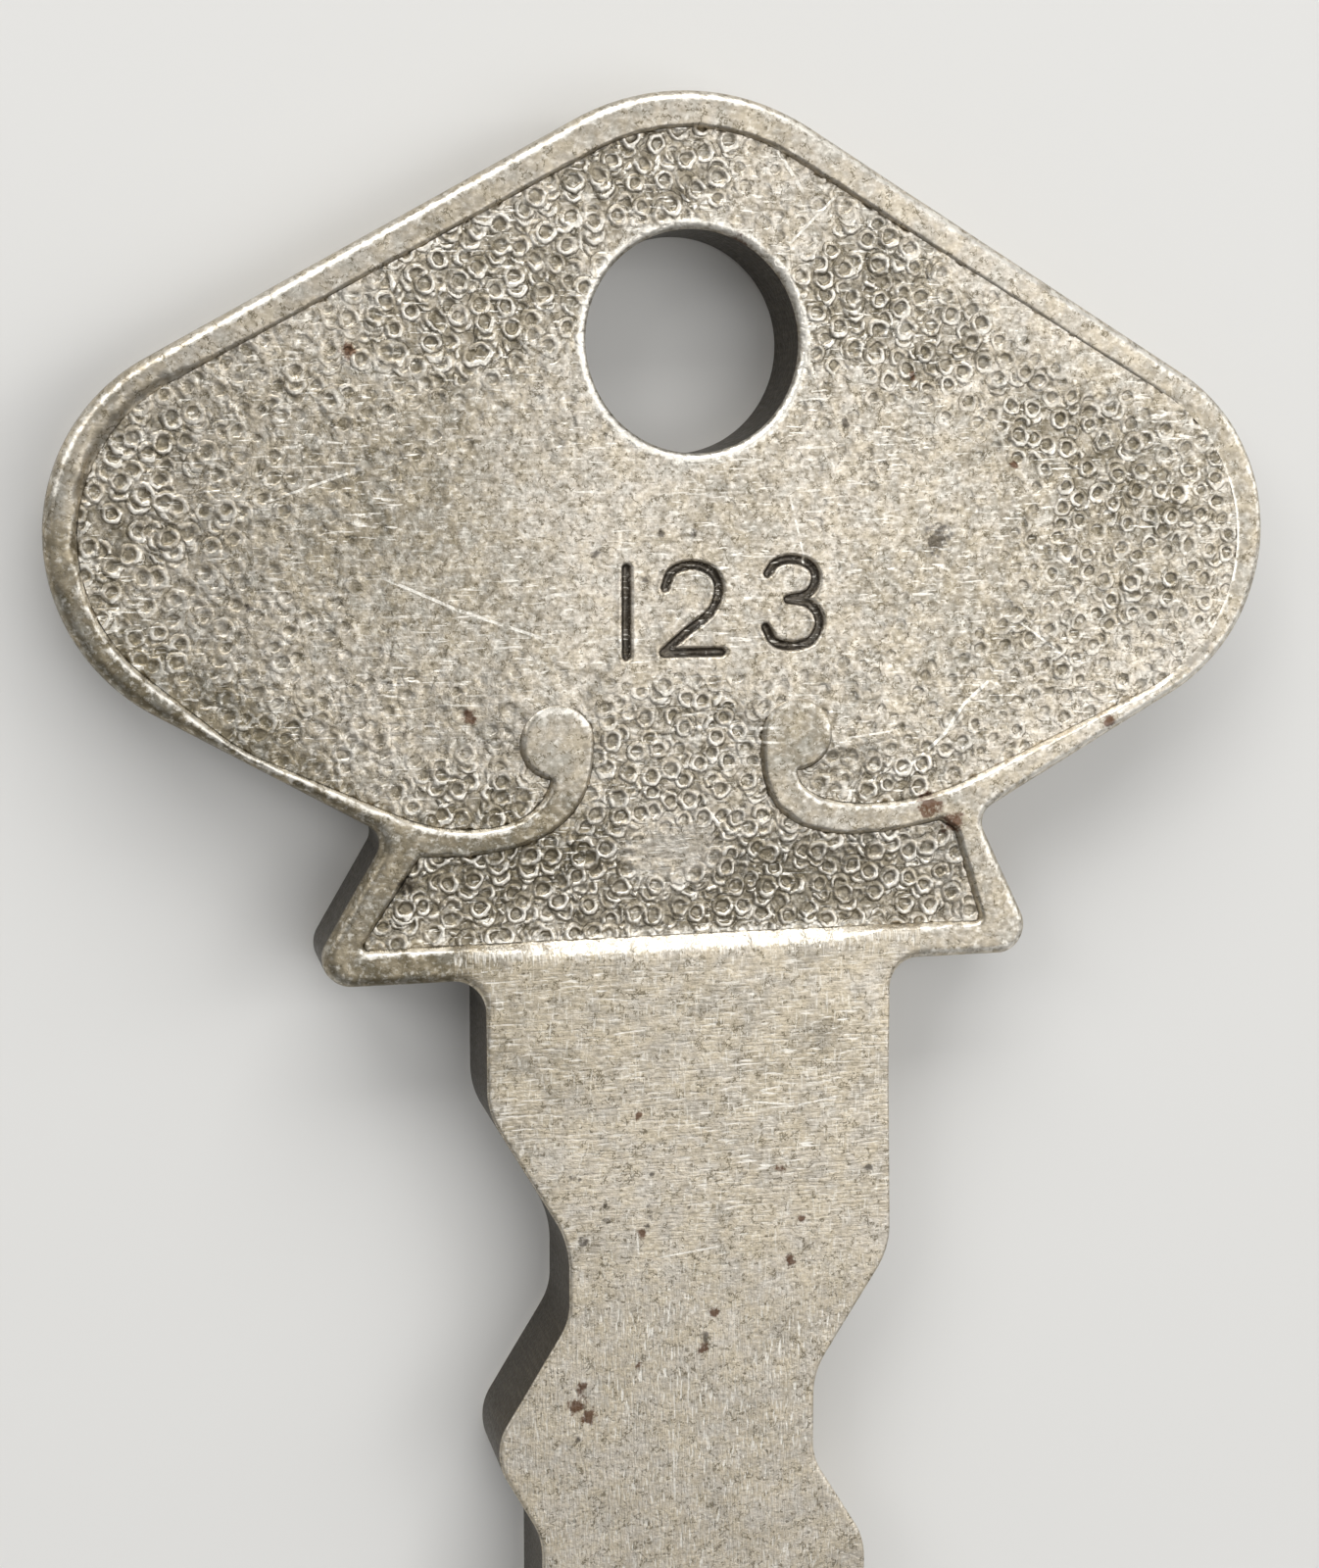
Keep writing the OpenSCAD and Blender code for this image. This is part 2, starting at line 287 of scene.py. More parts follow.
# Dark stains and rust specks: centre x and y and radius in mm
STAINS = [
    (5.24, -3.95, 0.31), (-0.7, -3.8, 0.1), (0.0, -3.8, 0.09), (-2.05, -4.2, 0.1),
    (-2.45, -22.7, 0.08), (-2.35, -18.4, 0.12), (-0.95, -17.75, 0.06), (-0.93, -17.95, 0.08),
    (-0.98, -18.2, 0.06), (-1.86, -17.7, 0.07), (-1.84, -18.0, 0.08), (-0.2, -17.75, 0.06),
    (-0.08, -17.86, 0.06), (-0.9, -17.08, 0.06), (-2.58, -17.0, 0.07), (-2.42, -17.08, 0.07),
    (3.9, -17.3, 0.09), (-8.2, -11.9, 0.25), (-5.9, -10.75, 0.2), (0.3, -20.75, 0.12),
    (-1.0, -4.75, 0.1), (3.2, -1.6, 0.12), (8.3, -4.4, 0.1), (-8.9, -5.2, 0.1),
]
RUST = [
    (0.87, 1.86, 0.26), (9.2, -7.8, 0.16), (5.12, -9.5, 0.26), (5.66, -9.9, 0.24),
    (-6.9, -0.3, 0.16), (-4.6, -7.4, 0.15), (0.25, -20.95, 0.13), (1.9, -17.15, 0.1),
    (-1.1, -18.35, 0.12), (-1.15, -15.8, 0.09), (2.15, -19.2, 0.13), (2.4, -18.3, 0.09),
    (-1.15, -21.2, 0.09), (0.5, -20.2, 0.1), (-2.4, -21.6, 0.12), (-2.5, -22.0, 0.2),
    (-2.25, -22.25, 0.18), (4.6, -0.6, 0.1), (6.9, -2.4, 0.1),
]

# Scratches: half width in mm, then the points of the line, which fades out at its ends
SCRATCHES = [
    (0.03, [(-6.4, -4.6), (-4.8, -5.3), (-3.05, -5.9)]),
    (0.035, [(4.2, -8.9), (4.9, -8.55), (5.5, -8.0), (5.9, -7.4), (6.6, -6.8)]),
    (0.03, [(0.4, -7.7), (1.1, -7.8), (1.9, -7.78)]),
    (0.025, [(0.7, -8.02), (1.9, -8.1)]),
    (0.02, [(3.2, -8.05), (4.4, -7.9)]),
    (0.035, [(1.6, 3.9), (2.3, 2.9)]),
    (0.025, [(3.0, 3.0), (1.9, 1.9)]),
    (0.025, [(-8.6, -3.2), (-6.6, -2.5)]),
    (0.035, [(-3.85, -17.1), (-3.35, -17.35)]),
    (0.02, [(1.2, -15.65), (2.3, -15.8), (3.3, -15.65)]),
    (0.02, [(-0.8, -18.9), (0.7, -18.75)]),
    (0.02, [(-1.2, -18.2), (-1.15, -18.9)]),
    (0.02, [(-0.4, -22.6), (-0.35, -24.4)]),
    (0.022, [(2.0, -3.0), (2.4, -4.6)]),
    (0.022, [(7.0, -5.6), (8.4, -6.6)]),
]
SCRATCH_ENDS = 0.25

# Spacing in mm of the outlines of the ground and of the whole key, and of the points on the
# rim, on the front and back of the blade, and on the crest between panel and blade
GROUND_LINE = 0.05
KEY_LINE = 0.06
RIM_STEP = 0.085
BLADE_STEPS = (0.08, 0.14)
CREST_STEP = 0.05
# Points across the throat, along the crest, down each side of it and round the hole
THROAT_POINTS = 78
BROW_POINTS = 160
FOOT_POINTS = 32
HOLE_SIDES = 240

# Nets of points of the ground: spacing over the fine step, and the wear between which each
# net is used, so that it is finest where the marks are crisp. It is finest too as near to
# the digits as DIGIT_SURROUND. The back is coarser, and has marks of its own
GROUND_NETS = ((1, -1, 0.5), (1.35, 0.5, 0.86), (2.1, 0.86, 2))
DIGIT_SURROUND = 0.25
SHOULDER_STEP = 0.8
BACK_STEP = 1.4
BACK_SEED = 50

# Rectangles that hold each net of points, as lowest and highest corner
GROUND_FIELD = ((-12.8, -12.2), (12.8, 4.6))
RIM_FIELD = ((-12.8, -12.9), (12.8, 5.0))
BLADE_FIELD = ((-5, -36.4), (5, -12))
CREST_FIELD = ((-5, -12.78), (5, -12))

# Rows of points beside the edges: distances in mm, and for the hole over its lip's width
EDGE_ROWS = (0.005, 0.014, 0.03, 0.052, 0.08, 0.115, 0.155, 0.2, 0.25, 0.32)
SLOPE_ROWS = (0.01, 0.025, 0.045, 0.07, 0.1, 0.14, 0.19)
BLADE_ROWS = (0.005, 0.014, 0.03, 0.052, 0.08, 0.11, 0.16, 0.23, 0.32)
LIP_ROWS = (0.012, 0.05, 0.12, 0.21, 0.33, 0.47, 0.64, 0.84, 1.05)

# Faces that meet at more than this angle have a sharp edge between them
SHARP = math.radians(78)

# Steps that turn places on the key into unrelated random numbers
SCATTER = (7e3, 7e3, 7e3)
SCATTER_BLOWS = (9e3, 9e3, 9e3)

# Sockets of Map Range and Mix nodes, whose names are long or used more than once
FROM_LOW, FROM_HIGH, TO_LOW, TO_HIGH = 1, 2, 3, 4
SHARE, PLAIN_A, PLAIN_B, VECTOR_A, VECTOR_B, COLOUR_A, COLOUR_B = 0, 2, 3, 4, 5, 6, 7
VECTOR_OUT, COLOUR_OUT = 1, 2

# How the three finishes differ: the size of the grain in mm, how far blotches shift the film,
# where the straw tint starts, the most of the straw and the grey tint, and the most of what
# is dull in the hollows and bright on the tops of the grain. Two finishes have lines of
# handling: where the dull and the bright ones start, and their depth in m
FINISHES = {
    "ring_punched": {
        "grain": 0.1, "shift": 0.45, "straw_from": 0.46, "straw": 0.4, "grey": 0.35,
        "hollows": 0.85, "tops": 0.7, "dull_lines": 0.6, "bright_lines": 0.37, "line_depth": 6e-6,
    },
    "handled": {
        "grain": 0.1, "shift": 0.25, "straw_from": 0.46, "straw": 0.4, "grey": 0.35,
        "hollows": 0.5, "tops": 0.45,
    },
    "milled": {
        "grain": 0.075, "shift": 0.25, "straw_from": 0.36, "straw": 0.65, "grey": 0.1,
        "hollows": 0.5, "tops": 0.45, "dull_lines": 0.56, "bright_lines": 0.42, "line_depth": 1e-5,
    },
}

# Noises of the finish: size of the lumps in mm, how much they are drawn out along each axis,
# and detail. The grain's size belongs to the finish
NOISES = {
    "clouds": (1.5, (1, 1, 1), 3.0),
    "blotches": (0.3, (1, 1, 1), 3.0),
    "hue": (0.45, (1, 1, 1), 2.0),
    "grain": (None, (0.7, 1, 1), 4.0),
    "veins": (0.24, (1, 1, 1), 3.0),
    "gaps": (0.2, (1, 1, 1), 2.0),
    "ragged": (0.14, (1, 1, 1), 3.0),
    "across": (0.06, (0.13, 1, 1), 1.5),
    "down": (0.05, (1, 0.16, 1), 1.5),
    "shear": (0.06, (1, 1, 0.08), 2.0),
}
NOISE_ROUGHNESS = 0.62

# Places along the key, in m, between which the lines of handling turn from across it to
# along it: down the blade, and up to the crest at its root
LINES_DOWN = (-0.018, -0.0205)
LINES_UP = (-0.01265, -0.0123)

# Lamps: name, place, what it points at, width, height and power
LAMPS = (
    ("overhead", (0.17, -0.02, 0.33), (0, -0.01, 0), 0.30, 0.34, 0.44),
    ("side", (0.36, 0.08, 0.16), (0, 0, 0), 0.10, 0.40, 0.35),
    ("window", (-0.02, 0.30, 0.16), (0, 0, 0), 0.40, 0.14, 0.9),
    ("corner", (-0.24, 0.15, 0.22), (0, 0, 0), 0.10, 0.16, 0.2),
)
WORLD_STRENGTH = 0.31
FLOOR_HALF = 0.6

# The camera stands where the photograph was taken from: its turn from the key's frame to its
# own, and the place in that of the hole's centre on the rim's level, in mm
CAMERA_TURN = (
    (0.968886, 0.002772, 0.247494),
    (0.031393, 0.990485, -0.133992),
    (-0.245510, 0.137592, 0.959580),
)
HOLE_IN_VIEW = (0.740897, 8.804865, -44.818092)
CAMERA_LENS = 51.75


class KeySizes(bpy.types.PropertyGroup):
    """Sizes of the struck relief"""

    outer_round: bpy.props.FloatProperty(
        name="Outer rounding", description="Width of the rounded outer edge of the rim",
        default=0.00024, min=0.0001, max=0.0006, unit="LENGTH", precision=5)
    outer_drop: bpy.props.FloatProperty(
        name="Outer drop", description="Height of the rounded outer edge of the rim",
        default=0.0003, min=0.0001, max=0.0008, unit="LENGTH", precision=5)
    inner_slope: bpy.props.FloatProperty(
        name="Inner slope", description="Width of the slope from the rim down to the ground",
        default=0.00006, min=0.00003, max=0.0004, unit="LENGTH", precision=5)
    blade_round: bpy.props.FloatProperty(
        name="Blade rounding", description="Width of the soft edges of the blade",
        default=0.00005, min=0.00003, max=0.0004, unit="LENGTH", precision=5)
    hole_radius: bpy.props.FloatProperty(
        name="Ring hole radius", description="Radius of the hole for a key ring",
        default=0.0022, min=0.0018, max=0.0024, unit="LENGTH", precision=5)
    hole_lip: bpy.props.FloatProperty(
        name="Ring hole lip", description="Radius of the worn lip of the hole",
        default=0.00018, min=0.0001, max=0.0002, unit="LENGTH", precision=5)
    digit_depth: bpy.props.FloatProperty(
        name="Digit depth", description="Depth of the stamped digits",
        default=0.00014, min=0.00005, max=0.0003, unit="LENGTH", precision=5)
    digit_stroke: bpy.props.FloatProperty(
        name="Digit stroke", description="Width of the strokes of the stamped digits",
        default=0.0002, min=0.0001, max=0.0004, unit="LENGTH", precision=5)
    fine_step: bpy.props.FloatProperty(
        name="Fine step", description="Spacing of the mesh where the ring marks are crisp",
        default=0.000047, min=0.00003, max=0.0002, unit="LENGTH", precision=6)


class RingMarks(bpy.types.PropertyGroup):
    """The punch marks of the ground"""

    radius: bpy.props.FloatProperty(
        name="Radius", description="Outer radius of one ring mark",
        default=0.00022, min=0.0001, max=0.0006, unit="LENGTH", precision=5)
    spacing: bpy.props.FloatProperty(
        name="Spacing", description="Least distance between the marks of one round of blows",
        default=0.00039, min=0.0002, max=0.002, unit="LENGTH", precision=5)
    climb: bpy.props.FloatProperty(
        name="Climb", description="Step upwards from a blow to the next one of its chain",
        default=0.00017, min=0, max=0.0005, unit="LENGTH", precision=5)
    ridge: bpy.props.FloatProperty(
        name="Ridge", description="Height of a ring above the ground",
        default=0.000034, min=0, max=0.0002, unit="LENGTH", precision=6)
    pit: bpy.props.FloatProperty(
        name="Pit", description="Depth inside a ring below the ground",
        default=0.000026, min=0, max=0.0002, unit="LENGTH", precision=6)
    rounds: bpy.props.IntProperty(
        name="Rounds", description="Rounds of blows, each over the ones before it",
        default=2, min=1, max=8)
    seed: bpy.props.IntProperty(
        name="Seed", description="Arrangement of the marks", default=11, min=0)


class KeyColours(bpy.types.PropertyGroup):
    """Colours of the metal and the floor, as sRGB hex values"""

    metal: bpy.props.StringProperty(
        name="Metal", description="Clean worn nickel silver", default="#D7CEC0")
    bright: bpy.props.StringProperty(
        # Also the colour of the painted highlights
        name="Bright metal", description="Nickel silver where it is rubbed bright", default="#FAF5EA")
    warm: bpy.props.StringProperty(
        name="Warm film", description="Straw tint of the thinnest film", default="#D9CBB0")
    cool: bpy.props.StringProperty(
        name="Cool film", description="Grey tint of the thinnest film", default="#C6C6BF")
    dull: bpy.props.StringProperty(
        name="Dull metal", description="Nickel silver under a thin brown-grey film", default="#8E8573")
    tarnish: bpy.props.StringProperty(
        name="Tarnish", description="Olive brown tarnish in the recesses", default="#6E6550")
    # Walls: dull unrubbed metal under painted shade, at its darkest
    shaded_wall: bpy.props.StringProperty(
        name="Walls", description="Side walls at their darkest", default="#4A443A")
    stain: bpy.props.StringProperty(
        name="Stain", description="Dark stains", default="#352E28")
    rust: bpy.props.StringProperty(
        name="Rust", description="Brown specks picked up in use", default="#5C3B26")
    floor: bpy.props.StringProperty(
        name="Floor", description="Plain pale floor", default="#E4E3E0")


def hex_colour(text):
    """Linear colour of an sRGB hex value"""
    parts = [int(text[i:i + 2], 16) / 255 for i in (1, 3, 5)]
    return [p / 12.92 if p <= 0.04045 else ((p + 0.055) / 1.055) ** 2.4 for p in parts] + [1.0]


def waves(size):
    """Scale of a noise whose lumps are about this size in mm"""
    return 1 / (size * MM)


def add(tree, kind, inputs=None, **settings):
    """Adds a node with its settings, and sets its inputs or links them, to a socket or to
    the first output of another node"""
    node = tree.nodes.new(kind)
    for name, value in settings.items():
        setattr(node, name, value)
    for socket, value in (inputs or {}).items():
        if isinstance(value, bpy.types.Node):
            value = value.outputs[0]
        if isinstance(value, bpy.types.NodeSocket):
            tree.links.new(value, node.inputs[socket])
        else:
            node.inputs[socket].default_value = value
    return node


# Outlines

def fillet(a, b, c, r, step):
    """Points of the arc that rounds corner b between its neighbours a and c"""
    a, b, c = (np.array(p[:2], float) for p in (a, b, c))
    u = (a - b) / np.linalg.norm(a - b)
    v = (c - b) / np.linalg.norm(c - b)
    half = math.acos(max(-1, min(1, u @ v))) / 2
    w = (u + v) / np.linalg.norm(u + v)
    o = b + w * r / math.sin(half)
    s = b + u * r / math.tan(half) - o
    e = b + v * r / math.tan(half) - o
    start = math.atan2(s[1], s[0])
    turn = math.atan2(s[0] * e[1] - s[1] * e[0], s @ e)
    n = max(3, math.ceil(abs(turn) * r / step))
    t = start + turn * np.arange(n + 1) / n
    return (o + r * np.stack([np.cos(t), np.sin(t)], 1)).tolist()


def rounded(corners, step):
    """Closed outline through corners of the form x, y, radius"""
    out = []
    for i, b in enumerate(corners):
        if b[2] == 0:
            out.append([b[0], b[1]])
        else:
            out += fillet(corners[i - 1], b, corners[(i + 1) % len(corners)], b[2], step)
    return np.array(out)


def cubic(p, step):
    """Points on a cubic curve between its two ends, as sharp corners"""
    p = np.array(p, float)
    n = max(8, math.ceil(np.linalg.norm(np.diff(p, axis=0), axis=1).sum() / step))
    t = (np.arange(1, n) / n)[:, None]
    k = 1 - t
    q = k ** 3 * p[0] + 3 * k * k * t * p[1] + 3 * k * t * t * p[2] + t ** 3 * p[3]
    return [(x, y, 0) for x, y in q]


def round_boss(boss, start, stop, step):
    """Points round a boss from one angle to the other, as sharp corners"""
    x, y, r = boss
    n = math.ceil((stop - start) * r / step)
    return [(x + r * math.cos(a), y + r * math.sin(a), 0) for a in np.linspace(start, stop, n + 1)]


def meet(top_y, fall, p, rise):
    """Where a side falling from the top meets a side rising outwards through p"""
    x = (top_y - p[1] + math.tan(rise) * p[0]) / (math.tan(fall) + math.tan(rise))
    return x, top_y - math.tan(fall) * x


def end_radius(corner, fall, rise, x):
    """Radius that rounds the corner between two such sides so that it reaches to x"""
    return (corner[0] - x) / (math.cos((fall - rise) / 2) / math.sin((fall + rise) / 2) - 1)


def resample(points, step):
    """The same closed outline with no segment much longer or shorter than the step"""
    least = 0.35 * step
    out = []
    for a, b in zip(points, np.roll(points, -1, axis=0)):
        n = max(1, round(np.linalg.norm(b - a) / step))
        out += [a + (b - a) * i / n for i in range(n)]
    kept = [out[0]]
    for p in out[1:]:
        if np.linalg.norm(p - kept[-1]) > least:
            kept.append(p)
    return np.array(kept)


def key_outline(step):
    """Silhouette of the whole key"""
    end_x = BOW_WIDTH / 2 - END_R
    slope = math.atan2(END_Y, end_x) + math.asin((TOP_R - END_R) / math.hypot(end_x, END_Y))
    run = (end_x - NOTCH[0], -NOTCH[1] - END_Y)
    lower = math.atan2(run[1], run[0]) - math.asin(END_R / math.hypot(*run))
    top_y = TOP_R / math.cos(slope)
    x, y = meet(top_y, slope, NOTCH, lower)
    left = NOTCH[0] + (NOTCH[1] - STOP_Y) * math.tan(LEFT_FLARE)
    right = NOTCH[0] + (NOTCH[1] - STOP_Y) * math.tan(RIGHT_FLARE)
    corners = [
        (0, top_y, TOP_R), (x, y, END_R), NOTCH, (right, STOP_Y, SHOULDER_R),
        (ROOT_X, STOP_Y, ROOT_R), *RIGHT_CUTS, *LEFT_CUTS, (-ROOT_X, STOP_Y, ROOT_R),
        (-left, STOP_Y, SHOULDER_R), (-NOTCH[0], NOTCH[1], NOTCH[2]), (-x, y, END_R),
    ]
    return rounded(corners, step)


def ground_outline(step):
    """Outline of the sunk ground, inside the rim and round both scrolls"""
    inner_r = TOP_R - RIM_TOP_W
    top_y = inner_r / math.cos(INNER_SLOPE)
    reach = BOW_WIDTH / 2 - RIM_END_W
    right = meet(top_y, INNER_SLOPE, RIGHT_INNER[0], RIGHT_LOWER_SLOPE)
    left = meet(top_y, INNER_SLOPE, (-LEFT_BEND[0], LEFT_BEND[1]), LEFT_LOWER_SLOPE)
    right_r = end_radius(right, INNER_SLOPE, RIGHT_LOWER_SLOPE, reach)
    left_r = end_radius(left, INNER_SLOPE, LEFT_LOWER_SLOPE, reach)
    start_r = math.atan2(RIGHT_INNER[3][1] - RIGHT_BOSS[1], RIGHT_INNER[3][0] - RIGHT_BOSS[0])
    start_l = math.atan2(LEFT_INNER[3][1] - LEFT_BOSS[1], LEFT_INNER[3][0] - LEFT_BOSS[0])
    corners = [
        (0, top_y, inner_r), (*right, right_r), (*RIGHT_INNER[0], 0),
        *cubic(RIGHT_INNER, step), *round_boss(RIGHT_BOSS, start_r, math.pi, step),
        *cubic(RIGHT_OUTER, step), (*RIGHT_OUTER[3], 0), *PANEL_RIGHT, *PANEL_LEFT,
        (*LEFT_OUTER[3], 0), *cubic(LEFT_OUTER, step)[::-1],
        *round_boss(LEFT_BOSS, 0, 2 * math.pi + start_l, step),
        *cubic(LEFT_INNER, step)[::-1], (*LEFT_INNER[0], 0), LEFT_BEND,
        (-left[0], left[1], left_r),
    ]
    return rounded(corners, step)


def segment_distance(points, a, b):
    """Distance of each point from the segments that run from a to b"""
    ab = b - a
    t = ((points - a) * ab).sum(-1) / np.maximum((ab ** 2).sum(-1), 1e-12)
    return np.linalg.norm(points - a - np.clip(t, 0, 1)[..., None] * ab, axis=-1)


def distance(points, outline):
    """Distance of each point from a finely sampled closed outline"""
    tree = KDTree(len(outline))
    for i, (x, y) in enumerate(outline.tolist()):
        tree.insert((x, y, 0), i)
    tree.balance()
    at = np.array([tree.find((x, y, 0))[1] for x, y in points.tolist()], int)
    here, n = outline[at], len(outline)
    before = segment_distance(points, outline[(at - 1) % n], here)
    return np.minimum(before, segment_distance(points, here, outline[(at + 1) % n]))


def inside(points, outline):
    """Whether each point is inside a closed outline"""
    ends = np.roll(outline, -1, axis=0)
    low = np.minimum(outline[:, 1], ends[:, 1])
    high = np.maximum(outline[:, 1], ends[:, 1])
    out = np.zeros(len(points), bool)
    order = np.argsort(points[:, 1])
    # About 250 points at a time, against the segments at their height alone
    for at in np.array_split(order, max(1, len(points) // 250)):
        y = points[at, 1]
        near = (low <= y[-1]) & (high >= y[0]) & (low < high)
        (x1, y1), (x2, y2) = outline[near].T, ends[near].T
        cross = (y1 > y[:, None]) != (y2 > y[:, None])
        reach = (x2 - x1) * (y[:, None] - y1) / (y2 - y1) + x1
        out[at] = (cross & (points[at, 0, None] < reach)).sum(1) % 2 == 1
    return out


def lattice(low, high, step):
    """Staggered rows of points over a rectangle, in nearly even triangles"""
    row = 0.866
    nx = math.ceil((high[0] - low[0]) / step)
    ny = math.ceil((high[1] - low[1]) / (step * row))
    i, j = np.meshgrid(np.arange(nx), np.arange(ny))
    x = low[0] + (i + 0.5 * (j % 2)) * step
    y = low[1] + j * step * row
    return np.stack([x.ravel(), y.ravel()], 1)


def rows_beside(outline, offsets, side):
    """Points at set distances from an outline, on its left for side 1 or its right for -1"""
    along = np.roll(outline, -1, axis=0) - np.roll(outline, 1, axis=0)
    along /= np.linalg.norm(along, axis=1)[:, None]
    normal = np.stack([-along[:, 1], along[:, 0]], 1) * side
    middle = (outline + np.roll(outline, -1, axis=0)) / 2
    out = []
    for k, d in enumerate(offsets):
        row = (outline if k % 2 else middle) + normal * d
        # In a tight bend the points of a row crowd, and those too near another part go
        slack = 0.02 * d + 1e-4
        out.append(row[np.abs(distance(row, outline) - d) < slack])
    return np.concatenate(out)


# Heights

def smooth(t):
    """Soft step from 0 to 1"""
    t = np.clip(t, 0, 1)
    return t * t * (3 - 2 * t)


def bell(x, middle, width):
    """1 at the middle, falling softly to 0 on both sides of it"""
    return np.exp(-((x - middle) / width) ** 2)


def ripple(p, size, seed):
    """Gentle unevenness between about -1 and 1, with seven waves of about the given size"""
    rng = np.random.default_rng(seed)
    count = 7
    out = np.zeros(len(p))
    for _ in range(count):
        a = rng.uniform(0, 2 * math.pi)
        k = 2 * math.pi / size * rng.uniform(0.6, 1.5)
        wave = k * (p[:, 0] * math.cos(a) + p[:, 1] * math.sin(a))
        out += np.sin(wave + rng.uniform(0, 6.3))
    return out / (count / 2)


def patch(p, x, y, rx, ry, turn):
    """1 in the middle of a turned ellipse, falling to 0 a little outside it"""
    fall = 1.6
    c, s = math.cos(math.radians(turn)), math.sin(math.radians(turn))
    u = ((p[:, 0] - x) * c + (p[:, 1] - y) * s) / rx
    v = (-(p[:, 0] - x) * s + (p[:, 1] - y) * c) / ry
    return np.exp(-(u * u + v * v) ** fall)


def blend(p, plain, patches):
    """A value all over, changed softly to each patch's own"""
    out = np.full(len(p), plain)
    for *place, value in patches:
        m = patch(p, *place)
        out = out * (1 - m) + value * m
    return out


def wear_at(p):
    """Wear of the ground, from 0 where the ring marks are crisp to 1 where they are gone"""
    uneven = 0.12 * ripple(p, 1.3, 5)
    return np.clip(blend(p, GROUND_WEAR, WEAR_PATCHES) + uneven, 0, 1)


def ground_height(p):
    """Height of the ground before it is punched"""
    z = np.full(len(p), WEB_TOP + GROUND_LEVEL)
    for *place, rise in GROUND_RISES:
        z += rise * patch(p, *place)
    uneven = 0.006 * ripple(p, 2.4, 3)
    return np.minimum(z + uneven, RIM_TOP - LEAST_DEPTH)


def ground_foot(p):
    """Height at which the slopes round the ground end, a little below it"""
    z = ground_height(p)
    return z - np.clip(FOOT_SINK * (RIM_TOP - z), 0, MOST_SINK)


def digit_chains():
    """The strokes of the stamped digits as smooth chains of points"""
    for x, y, width, strokes in DIGITS:
        for stroke in strokes:
            q = np.array(stroke, float) * (width, DIGIT_HEIGHT)
            if len(q) > 2:
                ends = np.concatenate([[2 * q[0] - q[1]], q, [2 * q[-1] - q[-2]]])
                a, b, c, d = (ends[k:len(ends) - 3 + k, None] for k in range(4))
                t = np.arange(5)[:, None] / 5
                run = (b + (c - a) * t / 2 + (a - 2.5 * b + 2 * c - d / 2) * t ** 2
                       + (1.5 * (b - c) + (d - a) / 2) * t ** 3)
                q = np.concatenate([run.reshape(-1, 2), q[-1:]])
            yield q + (x, y)


def digits_cut(p, width, depth):
    """Depth of the stamped digits at each point, with the burr beside them, and the distance
    from the nearest stroke"""
    x, y, half_x, half_y = DIGIT_FIELD
    d = np.full(len(p), 9.0)
    near = (np.abs(p[:, 0] - x) < half_x) & (np.abs(p[:, 1] - y) < half_y)
    for chain in digit_chains():
        for a, b in zip(chain, chain[1:]):
            d[near] = np.minimum(d[near], segment_distance(p[near], a, b))
    outside, soft = DIGIT_WALL
    groove = depth * smooth((width / 2 + outside - d) / soft)
    tall, away, wide = BURR
    burr = tall * bell(d - width / 2, away, wide)
    return groove - burr, d


def spots(p, places):
    """1 in the middle of each spot, 0.5 at its edge and 0 a little outside it"""
    out = np.zeros(len(p))
    for x, y, r in places:
        far = np.hypot(p[:, 0] - x, p[:, 1] - y)
        out = np.maximum(out, np.clip(1.25 - 0.75 * far / r, 0, 1))
    return out


def scratch_lines(p):
    """Distance from the nearest scratch in half widths, with its side as sign, and its force"""
    line, force, least = np.full(len(p), 9.0), np.zeros(len(p)), np.full(len(p), 9.0)
    for half, chain in SCRATCHES:
        chain = np.array(chain, float)
        length = np.linalg.norm(np.diff(chain, axis=0), axis=1)
        start = np.concatenate([[0], np.cumsum(length)])
        for k, (a, b) in enumerate(zip(chain, chain[1:])):
            u = (b - a) / length[k]
            along = start[k] + (p - a) @ u
            d = segment_distance(p, a, b)
            side = np.where(u[0] * (p - a)[:, 1] - u[1] * (p - a)[:, 0] < 0, -1, 1)
            near = d < least
            ends = smooth(along / SCRATCH_ENDS) * smooth((start[-1] - along) / SCRATCH_ENDS)
            least[near] = d[near]
            line[near] = (side * d)[near] / half
            force[near] = (ends * smooth((0.2 - d) / 0.08))[near]
    return line, force


